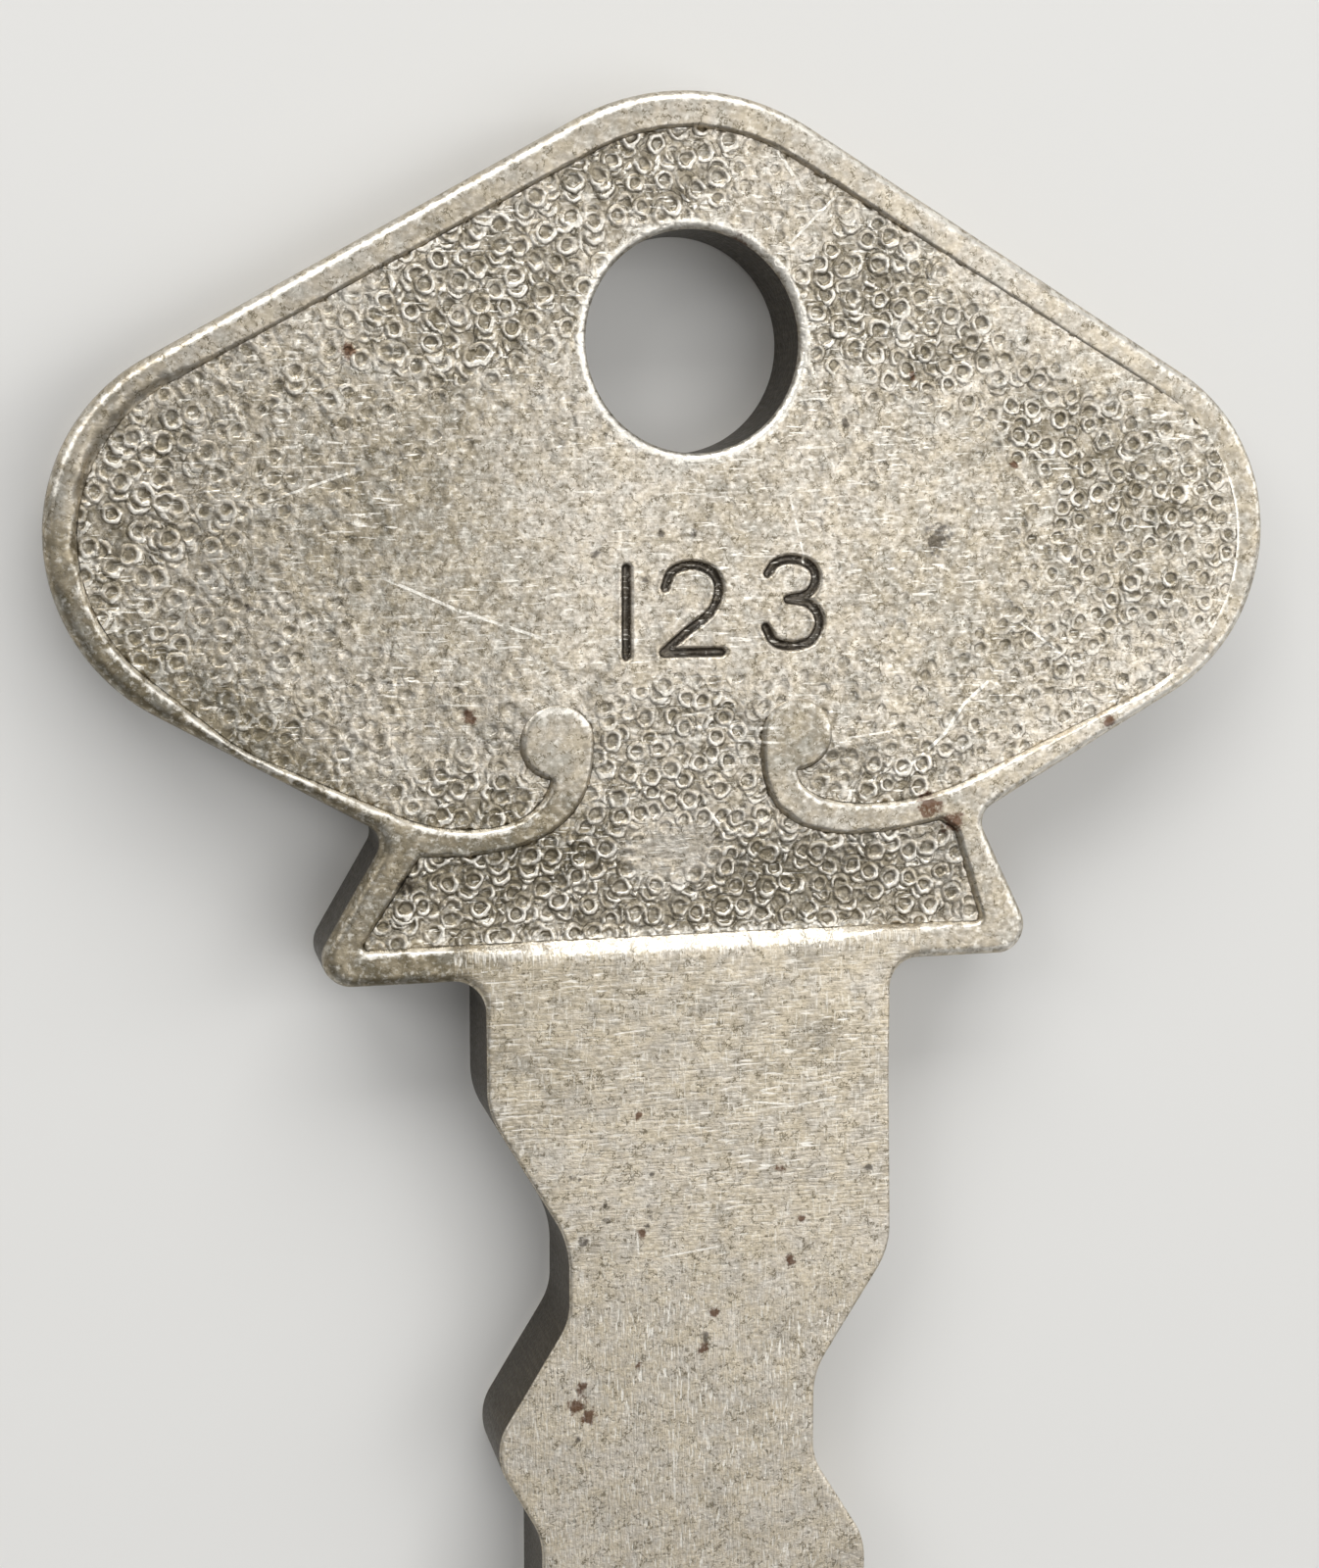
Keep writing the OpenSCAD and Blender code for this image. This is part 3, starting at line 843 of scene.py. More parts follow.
def shell(name, outline, holes, front, back, front_z, back_z):
    """Closed mesh between two height fields over one outline, with inner points for each"""
    loops = [outline, *holes]
    rim = np.concatenate(loops)
    edges, at = [], 0
    for loop in loops:
        n = len(loop)
        edges += [(at + i, at + (i + 1) % n) for i in range(n)]
        at += n
    # Front and back, each triangulated between the outlines and its inner points
    verts, tris, sides = [], [], []
    for inner, height, flip in ((front, front_z, False), (back, back_z, True)):
        flat = np.concatenate([rim, inner])
        got = delaunay_2d_cdt([Vector(q) for q in flat.tolist()], edges, [], 1, 1e-6)
        xy = np.array([tuple(q) for q in got[0]])
        faces = np.array(got[2])
        where = np.full(len(flat), -1)
        for new, old in enumerate(got[3]):
            where[old] = new
        middle = xy[faces].mean(1)
        keep = np.ones(len(faces), bool)
        for hole in holes:
            keep &= ~inside(middle, hole)
        faces = faces[keep]
        a, b, c = (xy[faces[:, k]] for k in range(3))
        area = (b[:, 0] - a[:, 0]) * (c[:, 1] - a[:, 1]) - (b[:, 1] - a[:, 1]) * (c[:, 0] - a[:, 0])
        wrong = (area < 0) != flip
        faces[wrong] = faces[wrong][:, ::-1]
        base = sum(len(v) for v in verts)
        verts.append(np.column_stack([xy, height(xy)]))
        tris.append(faces + base)
        sides.append(where[:len(rim)] + base)
    # Side walls between the two, round the outline and in the holes
    points = np.concatenate(verts)
    start = 0
    quads = []
    for loop in loops:
        n = len(loop)
        top, low = sides[0][start:start + n], sides[1][start:start + n]
        ring = points[top, :2]
        turn = (ring[:, 0] * np.roll(ring[:, 1], -1) - np.roll(ring[:, 0], -1) * ring[:, 1]).sum()
        outer = loop is loops[0]
        q = np.stack([top, low, np.roll(low, -1), np.roll(top, -1)], 1)
        quads.append(q if (turn > 0) == outer else q[:, ::-1])
        start += n
    used = np.zeros(len(points), bool)
    used[np.concatenate([t.ravel() for t in tris])] = True
    used[np.concatenate([q.ravel() for q in quads])] = True
    new = np.cumsum(used) - 1
    mesh = bpy.data.meshes.new(name)
    faces = [f for t in tris for f in new[t].tolist()] + [f for q in quads for f in new[q].tolist()]
    mesh.from_pydata((points[used] * MM).tolist(), [], faces)
    mesh.update()
    mesh.set_sharp_from_angle(angle=SHARP)
    obj = bpy.data.objects.new(name, mesh)
    bpy.context.collection.objects.link(obj)
    return obj


def plain_points(obj):
    """The vertices of a mesh in millimetres"""
    co = np.empty(len(obj.data.vertices) * 3, np.float32)
    obj.data.vertices.foreach_get("co", co)
    return co.reshape(-1, 3) / MM


def note(obj, name, values):
    """Stores one number for each vertex"""
    attribute = obj.data.attributes.new(name, "FLOAT", "POINT")
    attribute.data.foreach_set("value", np.asarray(values, np.float32))


def note_use(obj, edge, rub_and_highlight, film=0.0):
    """Stores tarnish with some more film all over, the side walls on the given edge with their painted
    shade, what is rubbed bright and what carries a painted highlight and, on the numbered side, the marks
    of use"""
    co = plain_points(obj)
    p, front = co[:, :2].astype(float), co[:, 2] > 0
    beyond = np.maximum(p[:, 0] - WALL_X, p[:, 1] - WALL_Y)
    outside = np.hypot(p[:, 0], p[:, 1]) > HOLE_REACH
    lighter = WALL_LIGHTER * smooth(beyond / WALL_OVER) * outside
    # Side walls, with the share of painted shade that they keep
    note(obj, "shaded_wall", (edge(p) < 0.003) * (1 - lighter))
    uneven = 0.75 + 0.25 * ripple(p, 0.7, 41)
    note(obj, "rub_and_highlight", rub_and_highlight(p) * uneven * front)
    note(obj, "tarnish", blend(p, TARNISH, TARNISH_PATCHES) + film)
    note(obj, "stain", spots(p, STAINS) * front)
    note(obj, "rust", spots(p, RUST) * front)
    line, force = scratch_lines(p)
    note(obj, "scratch", line)
    note(obj, "scratch_force", force * front)


def rubbed_edge_highlight(p, s):
    """1 along the painted highlight line on the outer edge of the bow, which is partly rubbed, at distance
    s inside it, and less where tarnish is left"""
    clean = np.clip(1.3 - 2 * blend(p, TARNISH, TARNISH_PATCHES), 0, 1)
    return clean * bell(s, *RUBBED_EDGE_HIGHLIGHT)


def slope_highlight(p, floor):
    """1 on the slopes round the ground that face the light, where a highlight is painted, falling to 0
    beside them
    """
    d = distance(p, floor)
    facing = np.clip((d - distance(p + LIGHT_STEP, floor)) / LIGHT_LENGTH, 0, 1)
    facing = np.maximum(facing, patch(p, *RIGHT_END))
    facing = facing * (1 - DIM_SLOPE_HIGHLIGHT_SHARE * patch(p, *DIM_SLOPE_HIGHLIGHT))
    width = np.where(p[:, 0] > RIGHT_END_X, RIGHT_END_WIDTH, LIT_WIDTH)
    return smooth(1.4 - d / width) * facing


def ring_height(tree, part, force, ridge, pit):
    """Height of a ring mark, from the distance over its radius: the inside lies below the
    ground, the ring stands above it, and outside it runs a shallow crevice"""
    wide = add(tree, "ShaderNodeMath", {0: part, 1: RING_REACH}, operation="DIVIDE", use_clamp=True)
    ring = add(tree, "ShaderNodeFloatCurve", {"Value": wide})
    curve = ring.mapping.curves[0]
    curve.points[0].location = (0.0, RING_PROFILE[0][1])
    curve.points[1].location = (1.0, RING_PROFILE[-1][1])
    for at, value in RING_PROFILE[1:-1]:
        curve.points.new(at / RING_REACH, value)
    ring.mapping.update()
    tall = add(tree, "ShaderNodeMath", {0: ridge, 1: force, 2: pit}, operation="MULTIPLY_ADD")
    mark = add(tree, "ShaderNodeMath", {0: ring, 1: tall}, operation="MULTIPLY")
    return add(tree, "ShaderNodeMath", {0: mark, 1: pit}, operation="SUBTRACT")


def worn_height(tree, height, wear, ridge, pit):
    """The same marks planed down by wear, and the height of the plane"""
    high = add(tree, "ShaderNodeMath", {0: ridge, 1: PLANE_START}, operation="MULTIPLY")
    low = add(tree, "ShaderNodeMath", {0: pit, 1: PLANE_END}, operation="MULTIPLY")
    plane = add(tree, "ShaderNodeMapRange", {"Value": wear, TO_LOW: high, TO_HIGH: low})
    worn = add(tree, "ShaderNodeMath", {0: height, 1: plane, 2: PLANE_ROUND}, operation="SMOOTH_MIN")
    return worn, plane


def blow_part(tree, flat, blow):
    """Distance from the middle of a blow, over its radius, made a little uneven, and how
    whole the ring is at each place"""
    split = add(tree, "ShaderNodeSeparateXYZ", {0: blow})
    centre = add(tree, "ShaderNodeVectorMath", {0: blow, 1: (1, 1, 0)}, operation="MULTIPLY")
    far = add(tree, "ShaderNodeVectorMath", {0: flat, 1: centre}, operation="DISTANCE").outputs["Value"]
    part = add(tree, "ShaderNodeMath", {0: far, 1: split.outputs["Z"]}, operation="DIVIDE")
    noise = add(tree, "ShaderNodeTexNoise", {"Vector": flat, "Scale": waves(0.22), "Detail": 1.5})
    uneven = add(tree, "ShaderNodeSeparateXYZ", {0: noise.outputs["Color"]})
    shift = add(tree, "ShaderNodeMapRange", {
        "Value": uneven.outputs["X"], FROM_LOW: 0.25, FROM_HIGH: 0.75, TO_LOW: -0.17, TO_HIGH: 0.17})
    whole = add(tree, "ShaderNodeMapRange", {
        "Value": uneven.outputs["Y"], FROM_LOW: 0.35, FROM_HIGH: 0.6, TO_LOW: 0.25, TO_HIGH: 1.15})
    moved = add(tree, "ShaderNodeMath", {0: part, 1: shift}, operation="ADD")
    return moved, whole


def chain_blow(tree, first, climb, number, place, flat, chance):
    """Centre of the nearest blow of this number in its chain, that many steps up the key from
    the first one"""
    swing = add(tree, "ShaderNodeVectorMath", {
        0: chance, 1: CHAIN_RANGE, 2: CHAIN_START}, operation="MULTIPLY_ADD")
    step = add(tree, "ShaderNodeMath", {0: climb, 1: float(number)}, operation="MULTIPLY")
    away = add(tree, "ShaderNodeVectorMath", {0: swing, "Scale": step}, operation="SCALE")
    blows = add(tree, "GeometryNodeSetPosition", {"Geometry": first, "Offset": away})
    nearest = add(tree, "GeometryNodeSampleNearest", {
        "Geometry": blows, "Sample Position": flat}, domain="POINT")
    return add(tree, "GeometryNodeSampleIndex", {
        "Geometry": blows, "Value": place, "Index": nearest}, data_type="FLOAT_VECTOR", domain="POINT")


def strike(tree, plain_radius, flat, centre, skipped, blow, force):
    """The last blow at each place, and its force, once one more has fallen round a centre"""
    at = add(tree, "ShaderNodeSeparateXYZ", {0: centre})
    key = add(tree, "ShaderNodeVectorMath", {0: centre, 1: SCATTER_BLOWS}, operation="MULTIPLY")
    luck = add(tree, "ShaderNodeTexWhiteNoise", {"Vector": key}, noise_dimensions="3D")
    split = add(tree, "ShaderNodeSeparateXYZ", {0: luck.outputs["Color"]})
    away = add(tree, "ShaderNodeVectorMath", {0: flat, 1: centre}, operation="SUBTRACT")
    far = add(tree, "ShaderNodeVectorMath", {0: away}, operation="LENGTH").outputs["Value"]
    size = add(tree, "ShaderNodeMapRange", {"Value": split.outputs["X"], TO_LOW: 0.85, TO_HIGH: 1.1})
    radius = add(tree, "ShaderNodeMath", {0: plain_radius, 1: size}, operation="MULTIPLY")
    part = add(tree, "ShaderNodeMath", {0: far, 1: radius}, operation="DIVIDE")
    # The punch leans forward, so the lower side of a ring stands out most
    askew = add(tree, "ShaderNodeVectorMath", {
        0: luck.outputs["Color"], 1: TILT_RANGE, 2: TILT_START}, operation="MULTIPLY_ADD")
    lean = add(tree, "ShaderNodeVectorMath", {0: away, 1: askew}, operation="DOT_PRODUCT").outputs["Value"]
    bite = add(tree, "ShaderNodeMath", {0: lean, 1: radius}, operation="DIVIDE")
    hard = add(tree, "ShaderNodeMapRange", {"Value": split.outputs["Z"], TO_LOW: 0.35, TO_HIGH: 0.95})
    push = add(tree, "ShaderNodeMath", {0: bite, 1: TILT_FORCE, 2: hard}, operation="MULTIPLY_ADD")
    within = add(tree, "ShaderNodeMath", {0: part, 1: RING_REACH}, operation="LESS_THAN")
    apart = add(tree, "ShaderNodeVectorMath", {
        0: centre, 1: THROAT_MIDDLE}, operation="DISTANCE").outputs["Value"]
    most = MOST_SKIPPED if skipped else 0.0
    fields = []
    for source, (low, high) in ((at.outputs["X"], RIGHT_FIELD), (apart, THROAT_FIELD)):
        fields.append(add(tree, "ShaderNodeMapRange", {
            "Value": source, FROM_LOW: low, FROM_HIGH: high, TO_LOW: skipped, TO_HIGH: most}))
    rare = add(tree, "ShaderNodeMath", {0: fields[0], 1: fields[1]}, operation="MAXIMUM")
    falls = add(tree, "ShaderNodeMath", {0: luck.outputs["Value"], 1: rare}, operation="GREATER_THAN")
    struck = add(tree, "ShaderNodeMath", {0: within, 1: falls}, operation="MULTIPLY")
    this = add(tree, "ShaderNodeCombineXYZ", {0: at.outputs["X"], 1: at.outputs["Y"], 2: radius})
    blow = add(tree, "ShaderNodeMix", {
        SHARE: struck, VECTOR_A: blow, VECTOR_B: this}, data_type="VECTOR").outputs[VECTOR_OUT]
    force = add(tree, "ShaderNodeMix", {SHARE: struck, PLAIN_A: force, PLAIN_B: push})
    return blow, force


def ring_punch_tree(rounds):
    """Geometry Nodes tree that strikes ring marks into the struck side of a mesh. In each
    round the blows fall in short chains that climb up the key, and every blow wipes out
    what it covers of the ones before it. Wear then planes the marks down."""
    tree = bpy.data.node_groups.new("ring_punched_ground", "GeometryNodeTree")
    new = tree.interface.new_socket
    new("Geometry", in_out="INPUT", socket_type="NodeSocketGeometry")
    for name in ("Radius", "Spacing", "Climb", "Ridge", "Pit", "Side"):
        new(name, in_out="INPUT", socket_type="NodeSocketFloat")
    new("Seed", in_out="INPUT", socket_type="NodeSocketInt")
    new("Material", in_out="INPUT", socket_type="NodeSocketMaterial")
    new("Geometry", in_out="OUTPUT", socket_type="NodeSocketGeometry")
    given = add(tree, "NodeGroupInput").outputs
    place = add(tree, "GeometryNodeInputPosition").outputs[0]
    flat = add(tree, "ShaderNodeVectorMath", {0: place, 1: (1, 1, 0)}, operation="MULTIPLY")
    fine = add(tree, "ShaderNodeVectorMath", {0: flat, 1: SCATTER}, operation="MULTIPLY")
    chance = add(tree, "ShaderNodeTexWhiteNoise", {"Vector": fine}, noise_dimensions="3D").outputs["Color"]
    # The first blows are scattered over a plane that covers both grounds
    grid = add(tree, "GeometryNodeMeshGrid", {
        "Size X": 0.03, "Size Y": 0.022, "Vertices X": 2, "Vertices Y": 2})
    field = add(tree, "GeometryNodeTransform", {"Geometry": grid, "Translation": (0, -0.0045, 0)})
    # The last blow at each place: its centre x and y, its radius and its force
    blow, force = (0.0, 0.0, 1e-6), 1.0
    for k in range(rounds):
        seed = add(tree, "ShaderNodeMath", {0: given["Seed"], 1: float(k)}, operation="ADD")
        first = add(tree, "GeometryNodeDistributePointsOnFaces", {
            "Mesh": field, "Distance Min": given["Spacing"],
            "Density Max": 2e7, "Seed": seed}, distribute_method="POISSON")
        for number, skipped in enumerate(SKIPPED):
            centre = chain_blow(tree, first, given["Climb"], number, place, flat, chance)
            blow, force = strike(tree, given["Radius"], flat, centre, skipped, blow, force)
    part, whole = blow_part(tree, flat, blow)
    push = add(tree, "ShaderNodeMath", {0: force, 1: 0.0}, operation="MAXIMUM")
    some = add(tree, "ShaderNodeMath", {0: push, 1: whole}, operation="MULTIPLY")
    height = ring_height(tree, part, some, given["Ridge"], given["Pit"])
    wear = add(tree, "GeometryNodeInputNamedAttribute", {"Name": "wear"}, data_type="FLOAT")
    amount = add(tree, "GeometryNodeInputNamedAttribute", {"Name": "struck"}, data_type="FLOAT")
    worn, _ = worn_height(tree, height, wear, given["Ridge"], given["Pit"])
    # Rough metal between the marks, in lumps 0.16 mm across and up to 0.007 mm high
    rough = add(tree, "ShaderNodeTexNoise", {"Vector": place, "Scale": waves(0.16), "Detail": 1.0})
    lump = add(tree, "ShaderNodeMapRange", {
        "Value": rough, FROM_LOW: 0.25, FROM_HIGH: 0.75, TO_LOW: -7e-6, TO_HIGH: 7e-6})
    both = add(tree, "ShaderNodeMath", {0: worn, 1: lump}, operation="ADD")
    lift = add(tree, "ShaderNodeMath", {0: both, 1: amount}, operation="MULTIPLY")
    side = add(tree, "ShaderNodeMath", {0: lift, 1: given["Side"]}, operation="MULTIPLY")
    move = add(tree, "ShaderNodeCombineXYZ", {2: side})
    moved = add(tree, "GeometryNodeSetPosition", {"Geometry": given["Geometry"], "Offset": move})
    # The finish draws each mark from the blow that each face belongs to
    first = add(tree, "GeometryNodeStoreNamedAttribute", {
        "Geometry": moved, "Name": "blow", "Value": blow}, data_type="FLOAT_VECTOR", domain="FACE")
    second = add(tree, "GeometryNodeStoreNamedAttribute", {
        "Geometry": first, "Name": "force", "Value": push}, data_type="FLOAT", domain="FACE")
    real = add(tree, "GeometryNodeRealizeInstances", {"Geometry": second})
    dressed = add(tree, "GeometryNodeSetMaterial", {"Geometry": real, "Material": given["Material"]})
    add(tree, "NodeGroupOutput", {0: dressed})
    return tree


def punch(obj, side, seed, material):
    """Strikes the ring marks into a ground piece and leaves it a plain mesh"""
    marks = bpy.context.scene.key_marks
    tree = ring_punch_tree(marks.rounds)
    values = {
        "Radius": marks.radius, "Spacing": marks.spacing, "Climb": marks.climb, "Ridge": marks.ridge,
        "Pit": marks.pit, "Side": side, "Seed": seed, "Material": material,
    }
    modifier = obj.modifiers.new("Ring punch", "NODES")
    modifier.node_group = tree
    for item in tree.interface.items_tree:
        if item.in_out == "INPUT" and item.name in values:
            modifier[item.identifier] = values[item.name]
    seen = bpy.context.evaluated_depsgraph_get()
    mesh = bpy.data.meshes.new_from_object(obj.evaluated_get(seen), depsgraph=seen)
    old = obj.data
    obj.modifiers.clear()
    obj.data = mesh
    bpy.data.meshes.remove(old)
    mesh.name = obj.name
    mesh.set_sharp_from_angle(angle=SHARP)


def film_layers(tree, noise, tarnish, tone, look):
    """Layers of colour for the film, in clouds 1.5 mm across and blotches 0.3 mm across,
    with its tints, its grain and its cracks"""
    spread = add(tree, "ShaderNodeMapRange", {
        "Value": noise["blotches"], FROM_LOW: 0.3, FROM_HIGH: 0.7,
        TO_LOW: -look["shift"], TO_HIGH: look["shift"]})
    cloud = add(tree, "ShaderNodeMath", {0: noise["clouds"], 1: spread}, operation="ADD")
    swing = add(tree, "ShaderNodeMapRange", {
        "Value": cloud, FROM_LOW: 0.1, FROM_HIGH: 0.9, TO_LOW: -0.3, TO_HIGH: 0.3})
    film = add(tree, "ShaderNodeMath", {0: swing, 1: tarnish}, operation="ADD")
    thin = add(tree, "ShaderNodeMapRange", {"Value": film})
    thick = add(tree, "ShaderNodeMapRange", {"Value": film, FROM_LOW: 0.8, FROM_HIGH: 1.4})
    layers = [(tone["dull"], thin), (tone["tarnish"], thick)]
    # Straw and grey tints of the thin film, then hollows left dull and tops rubbed bright
    for key, source, low, high, most in (
        ("warm", "hue", look["straw_from"], 0.64, look["straw"]),
        ("cool", "hue", 0.48, 0.3, look["grey"]),
        ("dull", "grain", 0.5, 0.72, look["hollows"]),
        ("bright", "grain", 0.48, 0.28, look["tops"]),
    ):
        share = add(tree, "ShaderNodeMapRange", {
            "Value": noise[source], FROM_LOW: low, FROM_HIGH: high, TO_HIGH: most})
        layers.append((tone[key], share))
    # Dark cracks wander over the film, 0.03 mm wide and broken into short lengths
    vein = add(tree, "ShaderNodeMath", {0: noise["veins"], 1: 0.5, 2: 0.024}, operation="COMPARE")
    gap = add(tree, "ShaderNodeMapRange", {
        "Value": noise["gaps"], FROM_LOW: 0.47, FROM_HIGH: 0.57, TO_HIGH: 0.75})
    crack = add(tree, "ShaderNodeMath", {0: vein, 1: gap}, operation="MULTIPLY")
    layers.append((tone["tarnish"], crack))
    return layers


def punched_layers(tree, place, noise, known, tone):
    """Layers of colour for the ring marks and the digits, and the height of the worn marks"""
    marks = bpy.context.scene.key_marks
    for key in ("wear", "struck", "force", "stamp"):
        known[key] = add(tree, "ShaderNodeAttribute", attribute_name=key).outputs["Fac"]
    plan = add(tree, "ShaderNodeVectorMath", {0: place, 1: (1, 1, 0)}, operation="MULTIPLY")
    blow = add(tree, "ShaderNodeAttribute", attribute_name="blow").outputs["Vector"]
    part, whole = blow_part(tree, plan, blow)
    force = add(tree, "ShaderNodeMath", {0: known["force"], 1: whole}, operation="MULTIPLY")
    height = ring_height(tree, part, force, marks.ridge, marks.pit)
    worn, plane = worn_height(tree, height, known["wear"], marks.ridge, marks.pit)
    # Tarnish fills what lies below the worn plane
    below = add(tree, "ShaderNodeMath", {0: plane, 1: worn}, operation="SUBTRACT")
    patchy = add(tree, "ShaderNodeMapRange", {
        "Value": noise["blotches"], FROM_LOW: 0.3, FROM_HIGH: 0.7, TO_LOW: 0.6, TO_HIGH: 1.4})
    deep = add(tree, "ShaderNodeMath", {0: below, 1: patchy}, operation="MULTIPLY")
    share = add(tree, "ShaderNodeMapRange", {"Value": deep, FROM_LOW: 1.2e-5, FROM_HIGH: 4.0e-5})
    most = add(tree, "ShaderNodeMapRange", {
        "Value": known["tarnish"], FROM_LOW: 0.0, FROM_HIGH: 0.7, TO_LOW: 0.52, TO_HIGH: 0.74})
    kept = add(tree, "ShaderNodeMath", {0: most, 1: known["struck"]}, operation="MULTIPLY")
    dirt = add(tree, "ShaderNodeMath", {0: share, 1: kept}, operation="MULTIPLY")
    # The tops of crisp rings are rubbed bright, and painted shade, in the dark tone of the walls, lies
    # broken in the crevice round them
    fresh = add(tree, "ShaderNodeMapRange", {
        "Value": known["wear"], FROM_LOW: 0.35, FROM_HIGH: 0.65, TO_LOW: 1.0, TO_HIGH: 0.0})
    crisp = add(tree, "ShaderNodeMath", {0: fresh, 1: known["struck"]}, operation="MULTIPLY")
    high = add(tree, "ShaderNodeMapRange", {
        "Value": height, FROM_LOW: 0.25 * marks.ridge, FROM_HIGH: 0.8 * marks.ridge, TO_HIGH: 0.8})
    top = add(tree, "ShaderNodeMath", {0: high, 1: crisp}, operation="MULTIPLY")
    near = add(tree, "ShaderNodeMath", {0: part, 1: 1.06, 2: 0.06}, operation="COMPARE")
    dark = add(tree, "ShaderNodeMapRange", {
        "Value": noise["blotches"], FROM_LOW: 0.42, FROM_HIGH: 0.58, TO_HIGH: 0.8})
    crevice_shade = add(tree, "ShaderNodeMath", {0: near, 1: dark}, operation="MULTIPLY")
    crevice_shade = add(tree, "ShaderNodeMath", {0: crevice_shade, 1: crisp}, operation="MULTIPLY")
    stamp = add(tree, "ShaderNodeMapRange", {
        "Value": known["stamp"], FROM_LOW: 0.1, FROM_HIGH: 0.45, TO_HIGH: 0.82})
    layers = [(tone["tarnish"], dirt), (tone["bright"], top), (tone["shaded_wall"], crevice_shade), (tone["stain"], stamp)]
    return layers, worn


def line_layers(tree, place, noise, tone, look, crest):
    """Layers of colour for the short lines of handling, across the key and, on the lower
    blade and its crest, along it, and the height of the lines"""
    up = add(tree, "ShaderNodeSeparateXYZ", {0: place}).outputs["Y"]
    along = add(tree, "ShaderNodeMapRange", {
        "Value": up, FROM_LOW: LINES_DOWN[0], FROM_HIGH: LINES_DOWN[1]})
    if crest:
        brow = add(tree, "ShaderNodeMapRange", {
            "Value": up, FROM_LOW: LINES_UP[0], FROM_HIGH: LINES_UP[1]})
        along = add(tree, "ShaderNodeMath", {0: along, 1: brow}, operation="MAXIMUM")
    lines = add(tree, "ShaderNodeMix", {SHARE: along, PLAIN_A: noise["across"], PLAIN_B: noise["down"]})
    gather = add(tree, "ShaderNodeMapRange", {
        "Value": noise["clouds"], FROM_LOW: 0.4, FROM_HIGH: 0.6, TO_LOW: 0.3, TO_HIGH: 1.0})
    layers = []
    for key, low, high, most in (
        ("dull", look["dull_lines"], 0.74, 0.7), ("bright", look["bright_lines"], 0.33, 1.0),
    ):
        share = add(tree, "ShaderNodeMapRange", {
            "Value": lines, FROM_LOW: low, FROM_HIGH: high, TO_HIGH: most})
        share = add(tree, "ShaderNodeMath", {0: share, 1: gather}, operation="MULTIPLY")
        layers.append((tone[key], share))
    return layers, lines


def use_layers(tree, noise, known, tone, rub_and_highlight_grain):
    """Layers of colour for scratches, which are bright and broken, and for what is rubbed bright with the
    painted highlights, stained and rusty, with ragged edges"""
    line = add(tree, "ShaderNodeMath", {0: known["scratch"], 1: 0.0, 2: 1.0}, operation="COMPARE")
    some = add(tree, "ShaderNodeMapRange", {
        "Value": noise["gaps"], FROM_LOW: 0.38, FROM_HIGH: 0.48, TO_HIGH: 0.9})
    for factor in (known["scratch_force"], some):
        line = add(tree, "ShaderNodeMath", {0: line, 1: factor}, operation="MULTIPLY")
    layers = [(tone["bright"], line)]
    for key, colour, source, low, high, most in (
        ("rub_and_highlight", "bright", rub_and_highlight_grain, 0.2, 0.7, 0.95),
        ("stain", "stain", "ragged", 0.45, 0.85, 0.72),
        ("rust", "rust", "ragged", 0.42, 0.8, 0.85),
    ):
        torn = add(tree, "ShaderNodeMapRange", {
            "Value": noise[source], FROM_LOW: 0.3, FROM_HIGH: 0.7, TO_LOW: -0.45, TO_HIGH: 0.45})
        edge = add(tree, "ShaderNodeMath", {0: known[key], 1: torn}, operation="ADD")
        share = add(tree, "ShaderNodeMapRange", {
            "Value": edge, FROM_LOW: low, FROM_HIGH: high, TO_HIGH: most})
        layers.append((tone[colour], share))
    return layers


